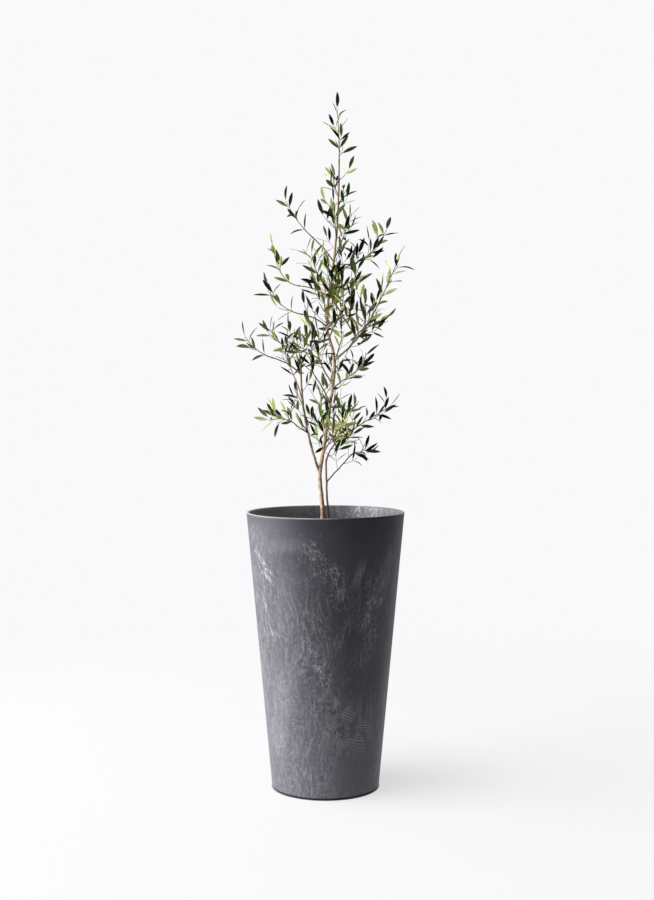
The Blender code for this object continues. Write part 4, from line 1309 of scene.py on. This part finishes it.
def floor_finish(settings):
    """Pale matte floor, lit from under it too so that shadows stay light, which gives way to the backdrop."""
    graph = Graph(bpy.data.materials.new("pale_floor"))
    across, depth, _ = graph.axes(graph.position())
    reach = (across**2 + depth**2) ** 0.5
    matte = graph.node("ShaderNodeBsdfDiffuse", {"Color": (*settings.floor_colour, 1.0)})
    strength = settings.floor_glow * graph.step(reach, *FLOOR_CONTACT)
    glow = graph.node("ShaderNodeEmission", {"Color": (*BACKDROP_COLOUR, 1.0), "Strength": strength})
    lit = graph.node("ShaderNodeAddShader", (matte, glow))
    clear = graph.node("ShaderNodeBsdfTransparent")
    return graph.show(graph.node("ShaderNodeMixShader", (graph.step(reach, *FLOOR_FADE), lit, clear)))


def colour(name, description, *default):
    """A setting that is a colour."""
    return bpy.props.FloatVectorProperty(name=name, description=description, default=default, subtype="COLOR")


def number(name, description, default, unit="NONE"):
    """A setting that is a number."""
    return bpy.props.FloatProperty(name=name, description=description, default=default, unit=unit)


class OLIVE_PG_planter(bpy.types.PropertyGroup):
    """Sizes and colours of the planter."""

    wall: number("Wall", "Thickness of the planter's wall", POT_WALL, "LENGTH")
    dark_colour: colour("Dark tone", "The darker of the two ground tones", 0.0156, 0.0156, 0.0204)
    mid_colour: colour("Mid tone", "The lighter of the two ground tones", 0.0296, 0.0290, 0.0372)
    # Painted light: the paler ground tone that the wall takes low on its left, on the window's side
    painted_light_colour: colour("Pale tone", "The ground tone low on the left", 0.083, 0.079, 0.092)
    vein_colour: colour("Veins", "Colour of the palest marbling", 0.26, 0.25, 0.28)
    # Partly pale dust inside, partly painted light on the shaded inner left wall
    dust_and_light_colour: colour("Dust", "Pale dust on the inside of the wall", 0.30, 0.30, 0.33)
    # Painted highlight: the pale colour of the rim's top on its left
    rim_highlight_colour: colour("Rim", "Colour of the worn rim", 0.34, 0.32, 0.35)


class OLIVE_PG_tree(bpy.types.PropertyGroup):
    """Colours of the tree."""

    bark_colour: colour("Bark", "Tan of the thicker limbs", 0.56, 0.42, 0.280)
    shade_colour: colour("Bark shade", "Brown streaks of the bark", 0.068, 0.036, 0.023)
    thin_colour: colour("Thin bark", "Bark of the thin limbs", 0.170, 0.100, 0.066)
    twig_colour: colour("Twigs", "Greyish green of the twigs", 0.22, 0.200, 0.095)


class OLIVE_PG_stage(bpy.types.PropertyGroup):
    """Strengths of the lights and the colour of the floor."""

    key_power: number("Window light", "Power of the large light at the left", 920.0, "POWER")
    top_strength: number("Overhead light", "Strength of the soft light from above", 2.05)
    fill_strength: number("Room light", "Brightness of the room around the object", 0.10)
    wall_strength: number("Far wall", "Brightness of the pale wall behind the object", 0.90)
    floor_colour: colour("Floor", "Colour of the floor", 0.25, 0.25, 0.253)
    floor_glow: number("Floor glow", "Share of the floor's brightness that comes from under it", 0.685)


class OLIVE_OT_planter(bpy.types.Operator):
    """Makes the planter: one profile turned round +Z, from under its foot over the rim and down inside"""

    bl_idname = "olive.planter"
    bl_label = "Planter"

    def execute(self, context):
        settings = context.scene.olive_planter
        surface = turned(pot_profile(settings.wall), POT_SIDES)
        pot = mesh_object("planter_shell", [planter_finish(settings)], *surface)
        pot.data.set_sharp_from_angle(angle=POT_SHARP_ANGLE)
        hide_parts("pot")
        return {"FINISHED"}


class OLIVE_OT_soil(bpy.types.Operator):
    """Makes the soil: a turned bed whose top is a sum of waves in many directions, and loose crumbs on it"""

    bl_idname = "olive.soil"
    bl_label = "Soil"

    def execute(self, context):
        finish = soil_finish()
        bed = soil_bed(finish)
        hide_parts("soil")
        crumbs = soil_crumbs(finish)
        return {"FINISHED"}


class OLIVE_OT_limbs(bpy.types.Operator):
    """Makes the trunk, the stems and the boughs: tubes along their paths with the bark's relief"""

    bl_idname = "olive.limbs"
    bl_label = "Trunk and boughs"

    def execute(self, context):
        settings = context.scene.olive_tree
        colours = settings.bark_colour, settings.shade_colour, settings.thin_colour
        finish = bark_finish("olive_bark", *colours)
        tree = grown_tree()[0]
        for seed, name in enumerate(["trunk"] + [limb.name for limb in LIMBS]):
            limb = bark_limb(finish, tree, name, seed)
            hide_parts(name)
        return {"FINISHED"}


class OLIVE_OT_twigs(bpy.types.Operator):
    """Makes the shoots' stems, their twigs and the twiglets: thin tubes that swell at every pair of leaves"""

    bl_idname = "olive.twigs"
    bl_label = "Twigs"

    def execute(self, context):
        settings = context.scene.olive_tree
        tree, masses, sprays = grown_tree()
        parts, thinness = [], []
        for mass in masses:
            line = tree.grown_line(mass.shoot.name, SHOOT_RING_SPACING)
            parts.append(twig_part(*line, mass.nodes, SHOOT_SIDES))
            thinness.append(np.linspace(*STEM_THINNESS, len(parts[-1][0])))
        for path, radii, nodes in [twig for growth in (*masses, sprays) for twig in growth.twigs]:
            parts.append(twig_part(path, np.linspace(*radii, len(path)), nodes, TWIG_SIDES))
            thinness.append(np.linspace(*TWIG_THINNESS, len(parts[-1][0])))
        colours = settings.thin_colour, settings.shade_colour, settings.twig_colour
        twigs = mesh_object("twigs", [bark_finish("olive_twigs", *colours)], *joined(parts))
        store(twigs, "thinness", np.concatenate(thinness))
        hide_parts(*[shoot.name for shoot in SHOOTS])
        return {"FINISHED"}


class OLIVE_OT_leaves(bpy.types.Operator):
    """Makes the leaves, one joined mesh for each finish"""

    bl_idname = "olive.leaves"
    bl_label = "Leaves"

    def execute(self, context):
        _, masses, sprays = grown_tree()
        leaves = [leaf for growth in (*masses, sprays) for leaf in growth.leaves]
        names = {shoot.name for shoot in SHOOTS}
        for index, kind in enumerate(LEAF_KINDS):
            own = [leaf for leaf in leaves if leaf.kind == kind.name]
            if not own:
                raise RuntimeError(f"no spray has {kind.name} leaves")
            top = leaf_finish(f"{kind.name}_leaf_top", kind.top, *LEAF_TOP_LOOK)
            under = leaf_finish(f"{kind.name}_leaf_underside", kind.under, *LEAF_UNDER_LOOK)
            surface = leaf_surfaces(own, index), *leaf_faces(len(own))
            item = mesh_object(f"leaves_{kind.name}", [top, under], *surface)
            item.data.set_sharp_from_angle(angle=LEAF_SHARP_ANGLE)
            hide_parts(*sorted(names & {leaf.carrier for leaf in own}))
        return {"FINISHED"}


class OLIVE_OT_stage(bpy.types.Operator):
    """Makes the camera, the floor, the lights and the backdrop"""

    bl_idname = "olive.stage"
    bl_label = "Stage"

    def execute(self, context):
        scene = context.scene
        scene.view_settings.view_transform = "Standard"
        scene.camera = placed("camera", bpy.data.cameras.new("camera"))
        scene.camera.data.sensor_width = CAMERA_SENSOR_MM
        scene.camera.data.lens = CAMERA_LENS_MM
        scene.camera.location = CAMERA_PLACE
        scene.camera.rotation_euler = (CAMERA_TILT, 0.0, 0.0)
        add_floor(scene.olive_stage)
        add_lights(scene.olive_stage)
        add_backdrop(scene)
        return {"FINISHED"}


def add_floor(settings):
    """A flat disc."""
    rim = [FLOOR_RADIUS * np.array([math.cos(turn), math.sin(turn), 0.0]) for turn in turns(FLOOR_SIDES)]
    mesh = bpy.data.meshes.new("floor")
    mesh.from_pydata(rim, [], [range(FLOOR_SIDES)])
    mesh.materials.append(floor_finish(settings))
    floor = placed("floor", mesh)


def add_lamp(name, kind, place, target, **sizes):
    """A lamp that looks at a point and isn't seen itself."""
    data = bpy.data.lights.new(name, kind)
    for key, size in sizes.items():
        setattr(data, key, size)
    lamp = placed(name, data)
    lamp.location = place
    lamp.rotation_euler = (Vector(target) - Vector(place)).to_track_quat("-Z", "Y").to_euler()
    lamp.visible_camera = False


def add_lights(settings):
    """A long low window at the left, and an even soft light from straight above."""
    size = {"shape": "RECTANGLE", "size": WINDOW_SIZE[0], "size_y": WINDOW_SIZE[1]}
    add_lamp("window", "AREA", WINDOW_PLACE, WINDOW_TARGET, energy=settings.key_power, **size)
    overhead = {"energy": settings.top_strength, "angle": OVERHEAD_SPREAD}
    add_lamp("overhead", "SUN", OVERHEAD_PLACE, (0.0, 0.0, 0.0), **overhead)


def add_backdrop(scene):
    """A world that the camera sees as a pale backdrop. It lights the object as a dim room whose far wall, low
    down behind the object, is pale, and palest on the left."""
    graph = Graph(bpy.data.worlds.new("studio"))
    aside, away, up = graph.axes(graph.node("ShaderNodeTexCoord", output=GENERATED_OUTPUT))
    far_wall = graph.step(away, 0.0, 0.5) * (1.0 - graph.step(up, 0.35, 0.65)) * (1.0 - 0.6 * aside)
    glow = between(scene.olive_stage.fill_strength, scene.olive_stage.wall_strength, far_wall)
    backdrop = graph.node("ShaderNodeBackground", {"Color": (*BACKDROP_COLOUR, 1.0), "Strength": 1.0})
    room = graph.node("ShaderNodeBackground", {"Color": (1.0, 1.0, 1.0, 1.0), "Strength": glow})
    seen = graph.node("ShaderNodeLightPath")
    mixed = graph.node("ShaderNodeMixShader", (seen, room, backdrop))
    scene.world = graph.show(mixed, "ShaderNodeOutputWorld")


class OLIVE_PT_panel(bpy.types.Panel):
    """The olive tree's operators and settings"""

    bl_label = "Olive tree"
    bl_idname = "OLIVE_PT_panel"
    bl_space_type = "VIEW_3D"
    bl_region_type = "UI"
    bl_category = "Olive tree"

    def draw(self, context):
        for operator in OPERATORS:
            self.layout.operator(operator.bl_idname)
        for name, group in GROUPS.items():
            box = self.layout.box()
            for setting in group.__annotations__:
                box.prop(getattr(context.scene, name), setting)


OPERATORS = (OLIVE_OT_stage, OLIVE_OT_planter, OLIVE_OT_soil, OLIVE_OT_limbs, OLIVE_OT_twigs, OLIVE_OT_leaves)
GROUPS = {"olive_planter": OLIVE_PG_planter, "olive_tree": OLIVE_PG_tree, "olive_stage": OLIVE_PG_stage}


def register():
    """Registers the classes and hangs the settings on the scene."""
    for made in (*GROUPS.values(), *OPERATORS, OLIVE_PT_panel):
        bpy.utils.register_class(made)
    for name, group in GROUPS.items():
        setattr(bpy.types.Scene, name, bpy.props.PointerProperty(type=group))


def unregister():
    """Takes the settings and the classes away again."""
    for name in GROUPS:
        delattr(bpy.types.Scene, name)
    for made in (OLIVE_PT_panel, *reversed(OPERATORS), *GROUPS.values()):
        bpy.utils.unregister_class(made)


def main():
    """Builds everything in order."""
    register()
    for operator in OPERATORS:
        getattr(bpy.ops.olive, operator.bl_idname.split(".")[1])()


if __name__ == "__main__":
    main()
